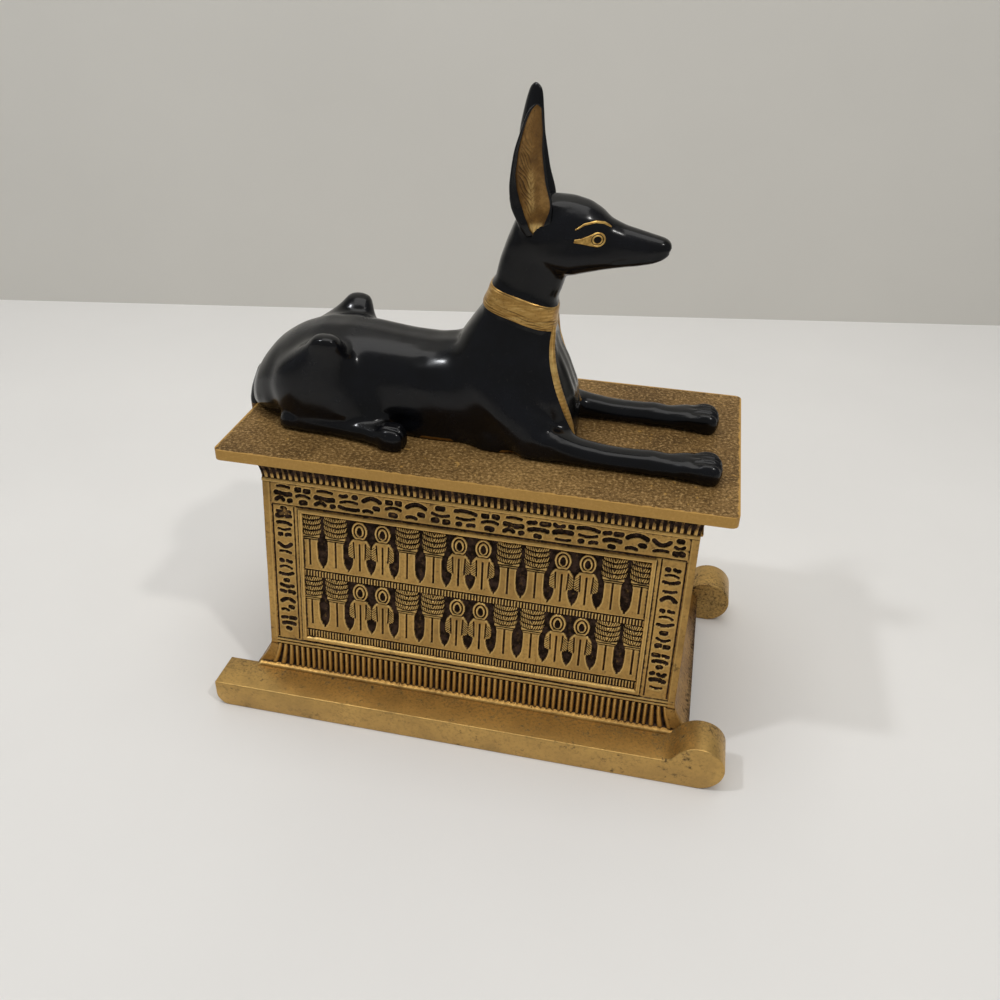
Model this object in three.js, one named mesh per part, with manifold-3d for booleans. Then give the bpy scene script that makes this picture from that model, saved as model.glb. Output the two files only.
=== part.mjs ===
// A recumbent jackal on a shrine chest with a sledge, cast in resin and painted black and gold.
// Millimetres, +Z up. The origin is the centre of the footprint at floor level, +X is the way the
// jackal faces, and the relief is on the two long sides, -Y and +Y.
import * as THREE from 'three';
import { mergeVertices } from 'three/addons/utils/BufferGeometryUtils.js';
import Module from 'manifold-3d';

const wasm = await Module();
wasm.setup();

// Lid slab
const slabLength = 176;
const slabWidth = 88.7;
const slabThickness = 3.8;
const slabCornerRadius = 2.4;
const slabUnderside = 104;
const lipDepth = 3.2;
const lipClearance = 0.6;
const restGap = 0.3;

// Chest
const slabOverhangEnd = 10.4;
const faceHalfWidthTop = 31.1;
const faceHalfWidthFoot = 40.2;
const wallTop = 5.5;
const chestFloor = 6;
const chestRecess = 2.5;
const cavettoFlare = 4.2;
const cavettoHeight = 12.4;
const ledgeHeight = 1.4;
const ledgeProud = 0.9;
const footFlare = 6.6;
const footFlareHeight = 12;
const torusRadius = 1.1;

// Sledge
const sledgeWidth = 112.4;
const runnerLap = 0.5;
const runnerHeight = 10.9;
const runnerPastRear = 18.1;
const runnerPastFront = 20.1;
const rollRadius = 9.5;
const rollFilletRadius = 6;
const rearCornerRadius = 5;

// Relief on the long sides
const reliefDepth = 1.1;
const figureRelief = 1;
const frameWidth = 1.5;
const frameProud = 0.6;
const panelSideMargin = 14.6;
const panelTop = 78.8;
const panelBottom = 26.6;
const rowFeet = [57.2, 31.9];
const figureHeight = 21;
const pillarPairPitch = 9.9;
const knotPairPitch = 8.7;
const changePitch = 9.25;
const groundLineHeight = 1.2;
const ladderHeight = 2.4;
const ladderDrop = 0.4;
const cornerStripWidth = 2.5;
const cornerStripProud = 0.4;
const mouldingProud = 0.5;
const mouldingHeight = 0.9;
const fluteBottom = 12.1;
const fluteTop = 21.6;
const flutePitch = 2.68;
const fluteDepth = 0.8;
const notchPitch = 2.4;
const notchDepth = 0.65;
const ribFloor = 0.15;
const ribMargin = 1.6;

// Jackal
const jackalHeight = 112.9;
const jackalSideShift = -1.5;
const jackalTurn = 0.014;
const jackalSkew = 0.055;
const tailWidth = 8.6;
const tailDepth = 4;
const tailDrop = 46;
const tailClearance = 0.6;
const earFacing = THREE.MathUtils.degToRad(62);
const bandProud = 0.6;
const ribbonWidth = 1.9;
const ribbonProud = 0.6;

// Places that follow from them
const slabTop = slabUnderside + slabThickness;
const chestTop = slabUnderside - restGap;
const endHalf = slabLength / 2 - slabOverhangEnd;
const cavityHalfLength = endHalf - wallTop;
const cavityHalfWidth = faceHalfWidthTop - wallTop;
const runnerFront = endHalf + runnerPastFront;
const runnerRear = -endHalf - runnerPastRear;
const cavettoBottom = chestTop - cavettoHeight;
const footTop = runnerHeight + footFlareHeight;

// Each long side leans in evenly from the runners to the foot of the cavetto
function faceAt(z) {
  const rise = (z - footTop) / (cavettoBottom - footTop);
  return THREE.MathUtils.lerp(faceHalfWidthFoot, faceHalfWidthTop, rise);
}

// Each runner reaches in from the sledge's outer width to just inside the chest's foot
const runnerWidth = sledgeWidth / 2 - faceAt(runnerHeight) + runnerLap;

// The lower half of the cavetto, where its notches are, taken as one slope
const cavettoSteps = 4;
function cavettoAt(z) {
  const middleOut = cavettoFlare * 0.25;
  return faceHalfWidthTop + (middleOut * (z - cavettoBottom)) / (cavettoHeight / 2);
}

function solidOf(geometry) {
  const bare = geometry.index ? geometry.toNonIndexed() : geometry.clone();
  bare.deleteAttribute('normal');
  bare.deleteAttribute('uv');
  const merged = mergeVertices(bare, 1e-4);
  const vertProperties = new Float32Array(merged.attributes.position.array);
  const triVerts = new Uint32Array(merged.index.array);
  return new wasm.Manifold(new wasm.Mesh({ numProp: 3, vertProperties, triVerts }));
}

function geometryOf(solid) {
  const mesh = solid.getMesh();
  const geometry = new THREE.BufferGeometry();
  const points = new Float32Array(mesh.vertProperties);
  geometry.setAttribute('position', new THREE.BufferAttribute(points, 3));
  geometry.setIndex(new THREE.BufferAttribute(new Uint32Array(mesh.triVerts), 1));
  geometry.computeVertexNormals();
  return geometry;
}

function joined(solids) {
  return solids.reduce((whole, solid) => whole.add(solid));
}

function boxSolid(low, high) {
  const size = high.map((value, i) => value - low[i]);
  const geometry = new THREE.BoxGeometry(...size);
  geometry.translate(...high.map((value, i) => (value + low[i]) / 2));
  return solidOf(geometry);
}

function signedVolume(geometry) {
  const position = geometry.attributes.position;
  const index = geometry.index.array;
  const [a, b, c] = [new THREE.Vector3(), new THREE.Vector3(), new THREE.Vector3()];
  let total = 0;
  for (let i = 0; i < index.length; i += 3) {
    a.fromBufferAttribute(position, index[i]);
    b.fromBufferAttribute(position, index[i + 1]);
    c.fromBufferAttribute(position, index[i + 2]);
    total += a.dot(b.cross(c)) / 6;
  }
  return total;
}

// Rings of equal count joined into one closed skin, with a fan on each end
function loft(rings) {
  const count = rings[0].length;
  const points = rings.flat();
  const faces = [];
  for (let row = 0; row + 1 < rings.length; row += 1) {
    for (let i = 0; i < count; i += 1) {
      const a = row * count + i;
      const b = row * count + ((i + 1) % count);
      faces.push([a, b, b + count], [a, b + count, a + count]);
    }
  }
  for (const row of [0, rings.length - 1]) {
    const hub = new THREE.Vector3();
    for (const point of rings[row]) hub.addScaledVector(point, 1 / count);
    points.push(hub);
    for (let i = 0; i < count; i += 1) {
      const edge = [row * count + i, row * count + ((i + 1) % count)];
      if (row === 0) edge.reverse();
      faces.push([points.length - 1, ...edge]);
    }
  }
  const geometry = new THREE.BufferGeometry().setFromPoints(points);
  geometry.setIndex(faces.flat());
  if (signedVolume(geometry) < 0) {
    geometry.setIndex(faces.map(([a, b, c]) => [a, c, b]).flat());
  }
  return geometry;
}

// A rounded outline in the plane of two directions; a power of 2 is an ellipse, more is squarer,
// and the half below the centre is squarer still
function roundRing(centre, across, up, halfAcross, halfUp, halfDown, power, sides) {
  const ring = [];
  for (let i = 0; i < sides; i += 1) {
    const angle = (2 * Math.PI * (i + 0.5)) / sides;
    const c = Math.cos(angle);
    const s = Math.sin(angle);
    const squareness = s > 0 ? power : power + 1.6;
    const wide = Math.sign(c) * Math.abs(c) ** (2 / power) * halfAcross;
    const tall = Math.sign(s) * Math.abs(s) ** (2 / squareness) * (s > 0 ? halfUp : halfDown);
    ring.push(centre.clone().addScaledVector(across, wide).addScaledVector(up, tall));
  }
  return ring;
}

const axisX = new THREE.Vector3(1, 0, 0);
const axisY = new THREE.Vector3(0, 1, 0);
const axisZ = new THREE.Vector3(0, 0, 1);

// The jackal's numbers are shares of its own height, counted in 112.9ths. X runs forward from the
// slab's rear edge, and Z up from the slab's top face.
const share = jackalHeight / 112.9;

// A form along X: each station is [x, middle y, half width, bottom z, top z]
function formAlongX(stations, power, sides) {
  return solidOf(loft(stations.map(([x, y, half, bottom, top]) => {
    const middle = bottom + (top - bottom) * 0.45;
    const centre = new THREE.Vector3(x, y, middle).multiplyScalar(share);
    const up = (top - middle) * share;
    const down = (middle - bottom) * share;
    return roundRing(centre, axisY, axisZ, half * share, up, down, power, sides);
  })));
}

// A form along Z: each station is [z, rear x, front x, middle y, half width]
function formAlongZ(stations, power, sides) {
  return solidOf(loft(stations.map(([z, rear, front, y, half]) => {
    const centre = new THREE.Vector3((rear + front) / 2, y, z).multiplyScalar(share);
    const reach = ((front - rear) / 2) * share;
    return roundRing(centre, axisY, axisX, half * share, reach, reach, power, sides);
  })));
}

function trunk() {
  return formAlongX([
    [-1.2, 0, 4.5, 2.5, 6.5],
    [0.2, 0, 9.5, 0, 11.4],
    [3.4, 0, 14, 0, 18.2],
    [9, 0, 18, 0, 24.8],
    [17, 0, 20, 0, 30],
    [27, 0, 20.5, 0, 33.4],
    [37, 0, 20, 0, 34.4],
    [47, 0, 18.8, 0, 33.6],
    [58, 0, 18, 0, 32.4],
    [68, 0, 18, 0, 32],
    [78, 0, 18.6, 0, 33.6],
    [90, 0, 17, 0, 34],
    [106, 0, 13, 0, 26],
  ], 2.3, 16);
}

const neckStations = [
  [0, 72, 119.3, 0, 18.2],
  [10, 72, 119.8, 0, 19.2],
  [19, 72, 117.8, 0, 19.4],
  [27, 74, 114.6, 0, 18],
  [34, 76.5, 111, 0, 15],
  [40, 80.5, 109.3, 0, 11.6],
  [45.5, 84.4, 109.2, 0, 9.7],
  [50.5, 86.8, 109.8, 0, 8.9],
  [56, 88.6, 111.6, 0, 8.6],
  [62, 90, 113, 0, 8.7],
  [68, 92, 112, 0, 9],
  [74, 94.4, 110, 0, 8.8],
  [79.5, 97.6, 107, 0, 6.4],
];

function neck() {
  return formAlongZ(neckStations, 2.7, 16);
}

function head() {
  return formAlongX([
    [97, 0, 6.5, 70, 80.5],
    [101, 0, 9.4, 61, 82.6],
    [107, 0, 10.2, 58.6, 83.5],
    [113, 0, 10, 58.2, 83.2],
    [118, 0, 9, 59.6, 82],
    [122, 0, 7.8, 60.6, 79.8],
    [125, 0, 6.7, 61.3, 77.2],
    [129.5, 0, 5.6, 62.2, 75.3],
    [134.5, 0, 4.9, 63.1, 74.1],
    [139, 0, 4.3, 64.2, 73],
    [142, 0, 3.7, 65.7, 72.3],
    [143.6, 0, 2.7, 67.3, 71.2],
    [144.2, 0, 1.4, 68.4, 70],
  ], 2.2, 14);
}

// An ear is a cupped leaf, with a round back and a dished front that faces outward and forward.
// Each station is [z, x, y, width, depth, dish]. The two tips lean apart, the near one forward and
// a little lower, so neither ear hides the other.
function ear(side) {
  const root = 76;
  const leanOf = (z) => (side * Math.max(z - root, 0)) / (112.9 - root);
  const tipForward = side < 0 ? 1.1 : 2;
  const tipLower = side < 0 ? 2.4 : 0;
  const stations = [
    [71.5, 101, 6.8, 5.4, 3.4, 0.2],
    [76, 100.9, 8.2, 10.6, 6.2, 1.3],
    [82.5, 99.7, 9.2, 13.4, 7, 2],
    [90, 98.5, 9.9, 12, 6, 1.9],
    [98, 98.3, 10.4, 9.8, 4.8, 1.5],
    [105.5, 99, 10.8, 6.8, 3.6, 0.9],
    [110.5, 99.7, 11, 3.8, 2.6, 0.4],
    [112.9, 100, 11.1, 1.6, 1.4, 0.1],
  ];
  const open = new THREE.Vector3(Math.cos(earFacing), side * Math.sin(earFacing), 0);
  const along = new THREE.Vector3(Math.sin(earFacing), -side * Math.cos(earFacing), 0);
  const backSteps = 7;
  const frontSteps = 5;
  return solidOf(loft(stations.map(([z, x, y, width, depth, dish]) => {
    const lean = leanOf(z);
    const centre = new THREE.Vector3(x - tipForward * lean, side * y, z + tipLower * lean)
      .multiplyScalar(share);
    const at = (across, out) => centre.clone()
      .addScaledVector(along, (across * width * share) / 2)
      .addScaledVector(open, out * share);
    const ring = [];
    for (let i = 0; i < backSteps; i += 1) {
      const turn = Math.PI * (i / (backSteps - 1));
      ring.push(at(-Math.cos(turn), depth * (0.25 - 0.62 * Math.sin(turn))));
    }
    for (let i = 1; i <= frontSteps; i += 1) {
      const across = 1 - (2 * i) / (frontSteps + 1);
      ring.push(at(across * 0.86, depth * 0.3 - dish * (1 - across * across)));
    }
    return ring;
  })));
}

function haunch(side) {
  return formAlongZ([
    [0, 14.5, 57, side * 14, 9],
    [7, 11.5, 57, side * 14.4, 9.8],
    [15.5, 10, 50, side * 14.8, 9.8],
    [23.4, 14, 44, side * 15.6, 8.6],
    [29, 22, 41, side * 17, 6.6],
    [33, 27.6, 39.3, side * 19, 4.9],
    [35.2, 29.8, 37.8, side * 20, 3.2],
    [35.9, 31.6, 35.8, side * 20.2, 1.5],
  ], 2.2, 12);
}

function hindFoot(side) {
  return formAlongX([
    [14.6, side * 19, 3.2, 0, 4.5],
    [17.6, side * 20, 4, 0, 7.2],
    [24, side * 20.4, 4, 0, 7.4],
    [36, side * 20.8, 4, 0, 6.8],
    [46, side * 22, 4.4, 0, 7],
    [52, side * 23.4, 5, 0, 6.8],
    [57.4, side * 24.6, 5, 0, 5.6],
    [60.6, side * 24.6, 4, 0, 3.8],
    [61.6, side * 24.4, 2.6, 0, 2],
  ], 2.4, 8);
}

function foreleg(side) {
  return formAlongX([
    [102, side * 15.5, 7.2, 0, 13],
    [113, side * 17.2, 6.3, 0, 10.6],
    [121, side * 17.9, 5.5, 0, 8.2],
    [131, side * 18, 5.2, 0, 6.8],
    [141, side * 18, 5.1, 0, 6.8],
    [145.5, side * 18, 5.5, 0, 7.5],
    [150.5, side * 18, 5.1, 0, 6.5],
    [156, side * 18, 5.9, 0, 7.2],
    [161, side * 18, 6.5, 0, 7.5],
    [164.6, side * 18, 6.2, 0, 6],
    [167, side * 18, 4.8, 0, 3.4],
  ], 2.4, 8);
}

function upperArm(side) {
  return formAlongZ([
    [0, 99, 118, side * 15.8, 6.6],
    [6, 94, 116, side * 15.8, 7.2],
    [14, 86, 111, side * 14.6, 7.4],
    [22, 80, 104, side * 12.6, 7.6],
    [30, 79, 98, side * 10.5, 6.6],
    [34, 82, 94, side * 9, 4.4],
  ], 2.2, 10);
}

// The tail hangs behind the slab's rear edge, so the edge and a clearance set its place.
// Each row is [z, rear x, front x, fullness of its width].
function tail() {
  const front = -tailClearance;
  const rear = front - tailDepth;
  const rows = [
    [13 * share, rear + tailDepth * 1.05, 8 * share, 0.9],
    [8 * share, rear + tailDepth * 0.52, 4 * share, 1],
    [4 * share, rear + tailDepth * 0.17, 1.2 * share, 1.05],
    [0, rear, front, 1.05],
    [-tailDrop * 0.2, rear, front, 1],
    [-tailDrop * 0.5, rear, front, 0.97],
    [-tailDrop * 0.84, rear + tailDepth * 0.07, front - tailDepth * 0.05, 0.86],
    [-tailDrop * 0.95, rear + tailDepth * 0.22, front - tailDepth * 0.2, 0.6],
    [-tailDrop, rear + tailDepth * 0.47, front - tailDepth * 0.44, 0.25],
  ];
  return solidOf(loft(rows.map(([z, back, face, fullness]) => {
    const centre = new THREE.Vector3((back + face) / 2, 0, z);
    const reach = (face - back) / 2;
    return roundRing(centre, axisY, axisX, (tailWidth / 2) * fullness, reach, reach, 2.4, 8);
  })));
}

// The neck band is the neck's own surface, a little proud, between two planes that slope forward
function neckBand() {
  const swollen = neckStations.slice(4, 9).map(([z, rear, front, y, half]) => (
    [z, rear - bandProud / share, front + bandProud / share, y, half + bandProud / share]
  ));
  const band = new THREE.BoxGeometry(60 * share, 40 * share, 8.2 * share);
  band.rotateY(0.265);
  band.translate(98.5 * share, 0, 47.1 * share);
  return formAlongZ(swollen, 2.7, 16).intersect(solidOf(band));
}

// A ribbon runs from the neck band down the chest to the root of the foreleg
function ribbon(side) {
  const path = [
    [109.6, 5.2, 41],
    [109.8, 8.6, 36],
    [110.9, 12.2, 29.5],
    [113.4, 14, 21],
    [116.4, 13.6, 13],
    [118, 12.2, 8],
  ].map(([x, y, z]) => new THREE.Vector3(x, side * y, z).multiplyScalar(share));
  const outward = new THREE.Vector3(0.82, side * 0.5, 0.28).normalize();
  const root = -2 * share;
  const section = [[1, ribbonProud], [-1, ribbonProud], [-1, root], [1, root]];
  return solidOf(loft(path.map((point, i) => {
    const before = path[Math.max(i - 1, 0)];
    const after = path[Math.min(i + 1, path.length - 1)];
    const across = after.clone().sub(before).cross(outward).setLength(ribbonWidth / 2);
    return section.map(([a, b]) => (
      point.clone().addScaledVector(across, a).addScaledVector(outward, b)
    ));
  })));
}

function jackalSolid() {
  const pairs = [ear, haunch, hindFoot, foreleg, upperArm, ribbon];
  const limbs = pairs.flatMap((limb) => [limb(-1), limb(1)]);
  return joined([trunk(), neck(), head(), tail(), neckBand(), ...limbs]);
}

// The cast sits a little askew: turned towards the near side, with that side a little forward
function askew(geometry) {
  const lean = new THREE.Matrix4();
  lean.set(1, -jackalSkew, 0, 0, -jackalTurn, 1, 0, 0, 0, 0, 1, 0, 0, 0, 0, 1);
  return geometry.applyMatrix4(lean);
}

function arc(x, y, radius, from, to, steps) {
  return Array.from({ length: steps + 1 }, (_, i) => {
    const angle = THREE.MathUtils.lerp(from, to, i / steps);
    return new THREE.Vector2(x + radius * Math.cos(angle), y + radius * Math.sin(angle));
  });
}

function roundedRectangle(length, width, radius) {
  const [x, y] = [length / 2 - radius, width / 2 - radius];
  const quarter = Math.PI / 2;
  return new THREE.Shape([
    ...arc(x, -y, radius, -quarter, 0, 4),
    ...arc(x, y, radius, 0, quarter, 4),
    ...arc(-x, y, radius, quarter, 2 * quarter, 4),
    ...arc(-x, -y, radius, 2 * quarter, 3 * quarter, 4),
  ]);
}

// The slab overhangs the chest, and a low lip below it drops into the chest's mouth
function slabSolid() {
  const outline = roundedRectangle(slabLength, slabWidth, slabCornerRadius);
  const plate = new THREE.ExtrudeGeometry(outline, {
    depth: slabThickness, bevelEnabled: false,
  });
  plate.translate(0, 0, slabUnderside);
  const lipHalfLength = cavityHalfLength - lipClearance;
  const lipHalfWidth = cavityHalfWidth - lipClearance;
  const lip = boxSolid(
    [-lipHalfLength, -lipHalfWidth, slabUnderside - lipDepth],
    [lipHalfLength, lipHalfWidth, slabUnderside + slabThickness / 2],
  );
  return solidOf(plate).add(lip);
}

// The chest's outside is a stack of rectangles, each [z, half length, half width]
function chestLevels() {
  const levels = [[chestRecess, endHalf + footFlare, faceAt(chestRecess)]];
  const flareSteps = 4;
  for (let i = 0; i <= flareSteps; i += 1) {
    const rise = i / flareSteps;
    const z = runnerHeight + footFlareHeight * rise;
    levels.push([z, endHalf + footFlare * (1 - rise) ** 1.6, faceAt(z)]);
  }
  const ledgeBottom = cavettoBottom - ledgeHeight;
  levels.push([ledgeBottom, endHalf, faceAt(ledgeBottom)]);
  levels.push([ledgeBottom, endHalf + ledgeProud, faceHalfWidthTop + ledgeProud]);
  levels.push([cavettoBottom, endHalf + ledgeProud, faceHalfWidthTop + ledgeProud]);
  for (let i = 0; i <= cavettoSteps; i += 1) {
    const rise = i / cavettoSteps;
    const out = cavettoFlare * rise ** 2;
    levels.push([cavettoBottom + cavettoHeight * rise, endHalf + out, faceHalfWidthTop + out]);
  }
  return levels;
}

function chestShell() {
  const corners = [[-1, -1], [1, -1], [1, 1], [-1, 1]];
  return solidOf(loft(chestLevels().map(([z, x, y]) => (
    corners.map(([a, b]) => new THREE.Vector3(a * x, b * y, z))
  ))));
}

// A runner seen from the side: a rounded rear corner, and a front that rises into a round roll
function runner(side) {
  const rollX = runnerFront - rollRadius;
  const filletZ = runnerHeight + rollFilletRadius;
  const reach = rollRadius + rollFilletRadius;
  const filletX = rollX - Math.sqrt(reach ** 2 - (filletZ - rollRadius) ** 2);
  const meet = Math.atan2(rollRadius - filletZ, rollX - filletX);
  const rearX = runnerRear + rearCornerRadius;
  const shape = new THREE.Shape([
    ...arc(rollX, rollRadius, rollRadius, -Math.PI / 2, Math.PI + meet, 18),
    ...arc(filletX, filletZ, rollFilletRadius, meet, -Math.PI / 2, 5).slice(1),
    new THREE.Vector2(runnerRear, runnerHeight),
    ...arc(rearX, rearCornerRadius, rearCornerRadius, Math.PI, Math.PI * 1.5, 5),
  ]);
  const geometry = new THREE.ExtrudeGeometry(shape, { depth: runnerWidth, bevelEnabled: false });
  geometry.rotateX(Math.PI / 2);
  geometry.translate(0, side > 0 ? sledgeWidth / 2 : runnerWidth - sledgeWidth / 2, 0);
  return solidOf(geometry);
}

// Relief is drawn flat, x along the chest and y up, thick outwards, then leant against a side
function leant(geometry, halfWidthAt) {
  const position = geometry.attributes.position;
  for (let i = 0; i < position.count; i += 1) {
    const z = position.getY(i);
    const y = -halfWidthAt(z) - position.getZ(i);
    position.setXYZ(i, position.getX(i), y, z);
  }
  return solidOf(geometry);
}

function raised(shape, low, high) {
  const geometry = new THREE.ExtrudeGeometry(shape, { depth: high - low, bevelEnabled: false });
  geometry.translate(0, 0, low);
  return leant(geometry, faceAt);
}

function rectangle(left, right, bottom, top, Kind = THREE.Shape) {
  const outline = new Kind();
  outline.moveTo(left, bottom);
  outline.lineTo(right, bottom);
  outline.lineTo(right, top);
  outline.lineTo(left, top);
  outline.closePath();
  return outline;
}

function bar(left, right, bottom, top, low, high) {
  return raised(rectangle(left, right, bottom, top), low, high);
}

// The figures' numbers are 21sts of their height: a column with a flared foot and a head of three
// tiers, and a looped knot with hanging ends over a flared skirt. Each is its right half, foot up.
const pillarHalf = [
  [4, -0.3], [2.7, 3.4], [2.7, 13.2], [4.2, 13.8], [3.5, 17], [4.5, 21],
];
const knotHalf = [
  [3.9, -0.3], [2.7, 6.2], [4.2, 6.2], [4.3, 12.4], [2.3, 14.3], [3.6, 17.4], [2, 20.3],
];
const figureShare = figureHeight / 21;

function mirrored(half, x, foot) {
  const place = ([a, b]) => new THREE.Vector2(x + a * figureShare, foot + b * figureShare);
  const left = half.filter(([a]) => a > 0).map(([a, b]) => [-a, b]).reverse();
  return new THREE.Shape([...half, ...left].map(place));
}

function knotEye(x, foot) {
  const corners = 4;
  const points = Array.from({ length: corners }, (_, i) => {
    const angle = Math.PI / 2 + (2 * Math.PI * i) / corners;
    const across = 1.2 * Math.cos(angle);
    const up = 17.3 + 1.7 * Math.sin(angle);
    return new THREE.Vector2(x + across * figureShare, foot + up * figureShare);
  });
  return new THREE.Path(points);
}

// A row is pairs of columns and pairs of knots by turns, with columns at both ends
function figureRow() {
  const row = [];
  let x = 0;
  for (const pillar of [true, false, true, false, true, false, true]) {
    row.push({ x, pillar });
    x += pillar ? pillarPairPitch : knotPairPitch;
    row.push({ x, pillar });
    x += changePitch;
  }
  const middle = (x - changePitch) / 2;
  return row.map((figure) => ({ ...figure, x: figure.x - middle }));
}

// A strip of upright ribs is a zigzag seen from above, as tall as the strip
function ribs(halfLength, bottom, top, pitch, depth, halfWidthAt) {
  const count = Math.round((2 * halfLength) / pitch);
  const step = (2 * halfLength) / count;
  const shape = new THREE.Shape();
  shape.moveTo(-halfLength, -reliefDepth);
  for (let i = 0; i < count; i += 1) {
    shape.lineTo(-halfLength + i * step, ribFloor);
    shape.lineTo(-halfLength + (i + 0.5) * step, ribFloor + depth);
  }
  shape.lineTo(halfLength, ribFloor);
  shape.lineTo(halfLength, -reliefDepth);
  shape.closePath();
  const geometry = new THREE.ExtrudeGeometry(shape, { depth: top - bottom, bevelEnabled: false });
  geometry.rotateX(Math.PI / 2);
  geometry.translate(0, top, 0);
  return leant(geometry, halfWidthAt);
}

// What stands out of a long side, with the loops of the knots pierced or plain
function sideRelief(pierced) {
  const panelHalf = endHalf - panelSideMargin;
  const root = -reliefDepth - 0.5;
  const frameHalf = panelHalf + frameWidth;
  const frame = rectangle(-frameHalf, frameHalf, panelBottom - frameWidth, panelTop + frameWidth);
  frame.holes.push(rectangle(-panelHalf, panelHalf, panelBottom, panelTop, THREE.Path));
  const pieces = [raised(frame, -reliefDepth / 2, frameProud)];
  for (const foot of rowFeet) {
    const ground = foot - groundLineHeight;
    pieces.push(bar(-panelHalf, panelHalf, ground, foot, root, figureRelief - reliefDepth));
    const ladder = ground - ladderHeight - ladderDrop;
    pieces.push(bar(-panelHalf, panelHalf, ladder, ladder + ladderHeight, root, -reliefDepth / 2));
    for (const { x, pillar } of figureRow()) {
      const shape = mirrored(pillar ? pillarHalf : knotHalf, x, foot);
      if (pierced && !pillar) shape.holes.push(knotEye(x, foot));
      pieces.push(raised(shape, root, figureRelief - reliefDepth));
    }
  }
  for (const bottom of [fluteTop + 0.4, fluteTop + 0.8 + mouldingHeight]) {
    const top = bottom + mouldingHeight;
    pieces.push(bar(-endHalf, endHalf, bottom, top, -reliefDepth, mouldingProud));
  }
  const ledgeBottom = cavettoBottom - ledgeHeight;
  for (const side of [-1, 1]) {
    const ends = [side * endHalf, side * (endHalf - cornerStripWidth)].sort((a, b) => a - b);
    pieces.push(bar(...ends, fluteTop, ledgeBottom, -reliefDepth, cornerStripProud));
  }
  const fluteHalf = endHalf - ribMargin;
  pieces.push(ribs(fluteHalf, fluteBottom, fluteTop, flutePitch, fluteDepth, faceAt));
  const notchTop = cavettoBottom + cavettoHeight / 2;
  pieces.push(ribs(endHalf, cavettoBottom, notchTop, notchPitch, notchDepth, cavettoAt));
  const torus = new THREE.CylinderGeometry(torusRadius, torusRadius, 2 * endHalf, 8);
  torus.rotateZ(Math.PI / 2);
  torus.translate(0, -faceAt(runnerHeight), runnerHeight);
  pieces.push(solidOf(torus));
  return joined(pieces);
}

function chestSolid() {
  const panelHalf = endHalf - panelSideMargin;
  const panel = bar(-panelHalf, panelHalf, panelBottom, panelTop, -reliefDepth, ledgeProud);
  const cavity = boxSolid(
    [-cavityHalfLength, -cavityHalfWidth, chestRecess + chestFloor],
    [cavityHalfLength, cavityHalfWidth, slabTop],
  );
  let chest = chestShell().add(runner(-1)).add(runner(1));
  chest = chest.subtract(panel).subtract(panel.rotate([0, 0, 180]));
  chest = chest.add(sideRelief(true)).add(sideRelief(false).rotate([0, 0, 180]));
  return chest.subtract(cavity);
}

// The whole, with each casting in its own paint
function casting(name, solid, color, roughness, metalness) {
  const material = new THREE.MeshStandardMaterial({ color, roughness, metalness });
  const mesh = new THREE.Mesh(geometryOf(solid), material);
  mesh.name = name;
  return mesh;
}

const jackal = casting('jackal', jackalSolid(), 0x0b0b0e, 0.22, 0);
askew(jackal.geometry);
jackal.position.set(-slabLength / 2, jackalSideShift, slabTop + restGap);

const statue = new THREE.Group();
statue.add(jackal);
statue.add(casting('lid_slab', slabSolid(), 0x7a5a26, 0.5, 0.4));
statue.add(casting('shrine_chest', chestSolid(), 0x8a6a2e, 0.45, 0.45));
statue.position.x = -(runnerFront + runnerRear) / 2;

export default statue;
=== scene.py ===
"""A recumbent jackal on a shrine chest, in gloss black and antique gold, dressed over its CAD model.
Lengths below are in millimetres unless a name says otherwise; meshes are made in metres."""
import math

import bmesh
import bpy
import numpy as np
from mathutils import Matrix, Vector
from mathutils.bvhtree import BVHTree


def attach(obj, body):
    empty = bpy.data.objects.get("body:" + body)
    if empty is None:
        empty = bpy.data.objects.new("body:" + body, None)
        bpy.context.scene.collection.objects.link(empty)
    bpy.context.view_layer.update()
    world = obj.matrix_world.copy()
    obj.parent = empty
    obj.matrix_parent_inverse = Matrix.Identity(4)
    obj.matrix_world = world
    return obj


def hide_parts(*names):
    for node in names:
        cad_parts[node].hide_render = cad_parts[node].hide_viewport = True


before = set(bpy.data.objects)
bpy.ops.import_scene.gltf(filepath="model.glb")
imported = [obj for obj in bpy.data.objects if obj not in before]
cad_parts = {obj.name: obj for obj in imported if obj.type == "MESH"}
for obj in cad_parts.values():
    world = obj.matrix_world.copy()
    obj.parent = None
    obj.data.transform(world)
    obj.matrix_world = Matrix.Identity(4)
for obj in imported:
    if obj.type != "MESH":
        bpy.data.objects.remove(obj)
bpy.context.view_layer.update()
scene = bpy.context.scene
MM = 0.001

# The same sizes as the part's
SHIFT_X = -1.0
SLAB_LENGTH, SLAB_WIDTH = 176.0, 88.7
CHEST_TOP = 103.7
END_HALF = 77.6
HALF_TOP, HALF_FOOT = 31.1, 40.2
CAVETTO_BOTTOM, CAVETTO_HEIGHT, CAVETTO_FLARE = 91.3, 12.4, 4.2
RUNNER_HEIGHT, FOOT_TOP, FOOT_FLARE = 10.9, 22.9, 6.6
WALL, CHEST_FLOOR, CHEST_RECESS = 5.5, 6.0, 2.5
SLEDGE_WIDTH, RUNNER_WIDTH = 112.4, 15.0
RUNNER_FRONT, RUNNER_REAR = 97.7, -95.7
ROLL_RADIUS, FILLET_RADIUS, REAR_RADIUS = 9.5, 6.0, 5.0
PANEL_HALF, PANEL_BOTTOM, PANEL_TOP = 63.0, 26.6, 78.8
RELIEF_DEPTH = 1.1
LEDGE_BOTTOM = 89.9

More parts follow.
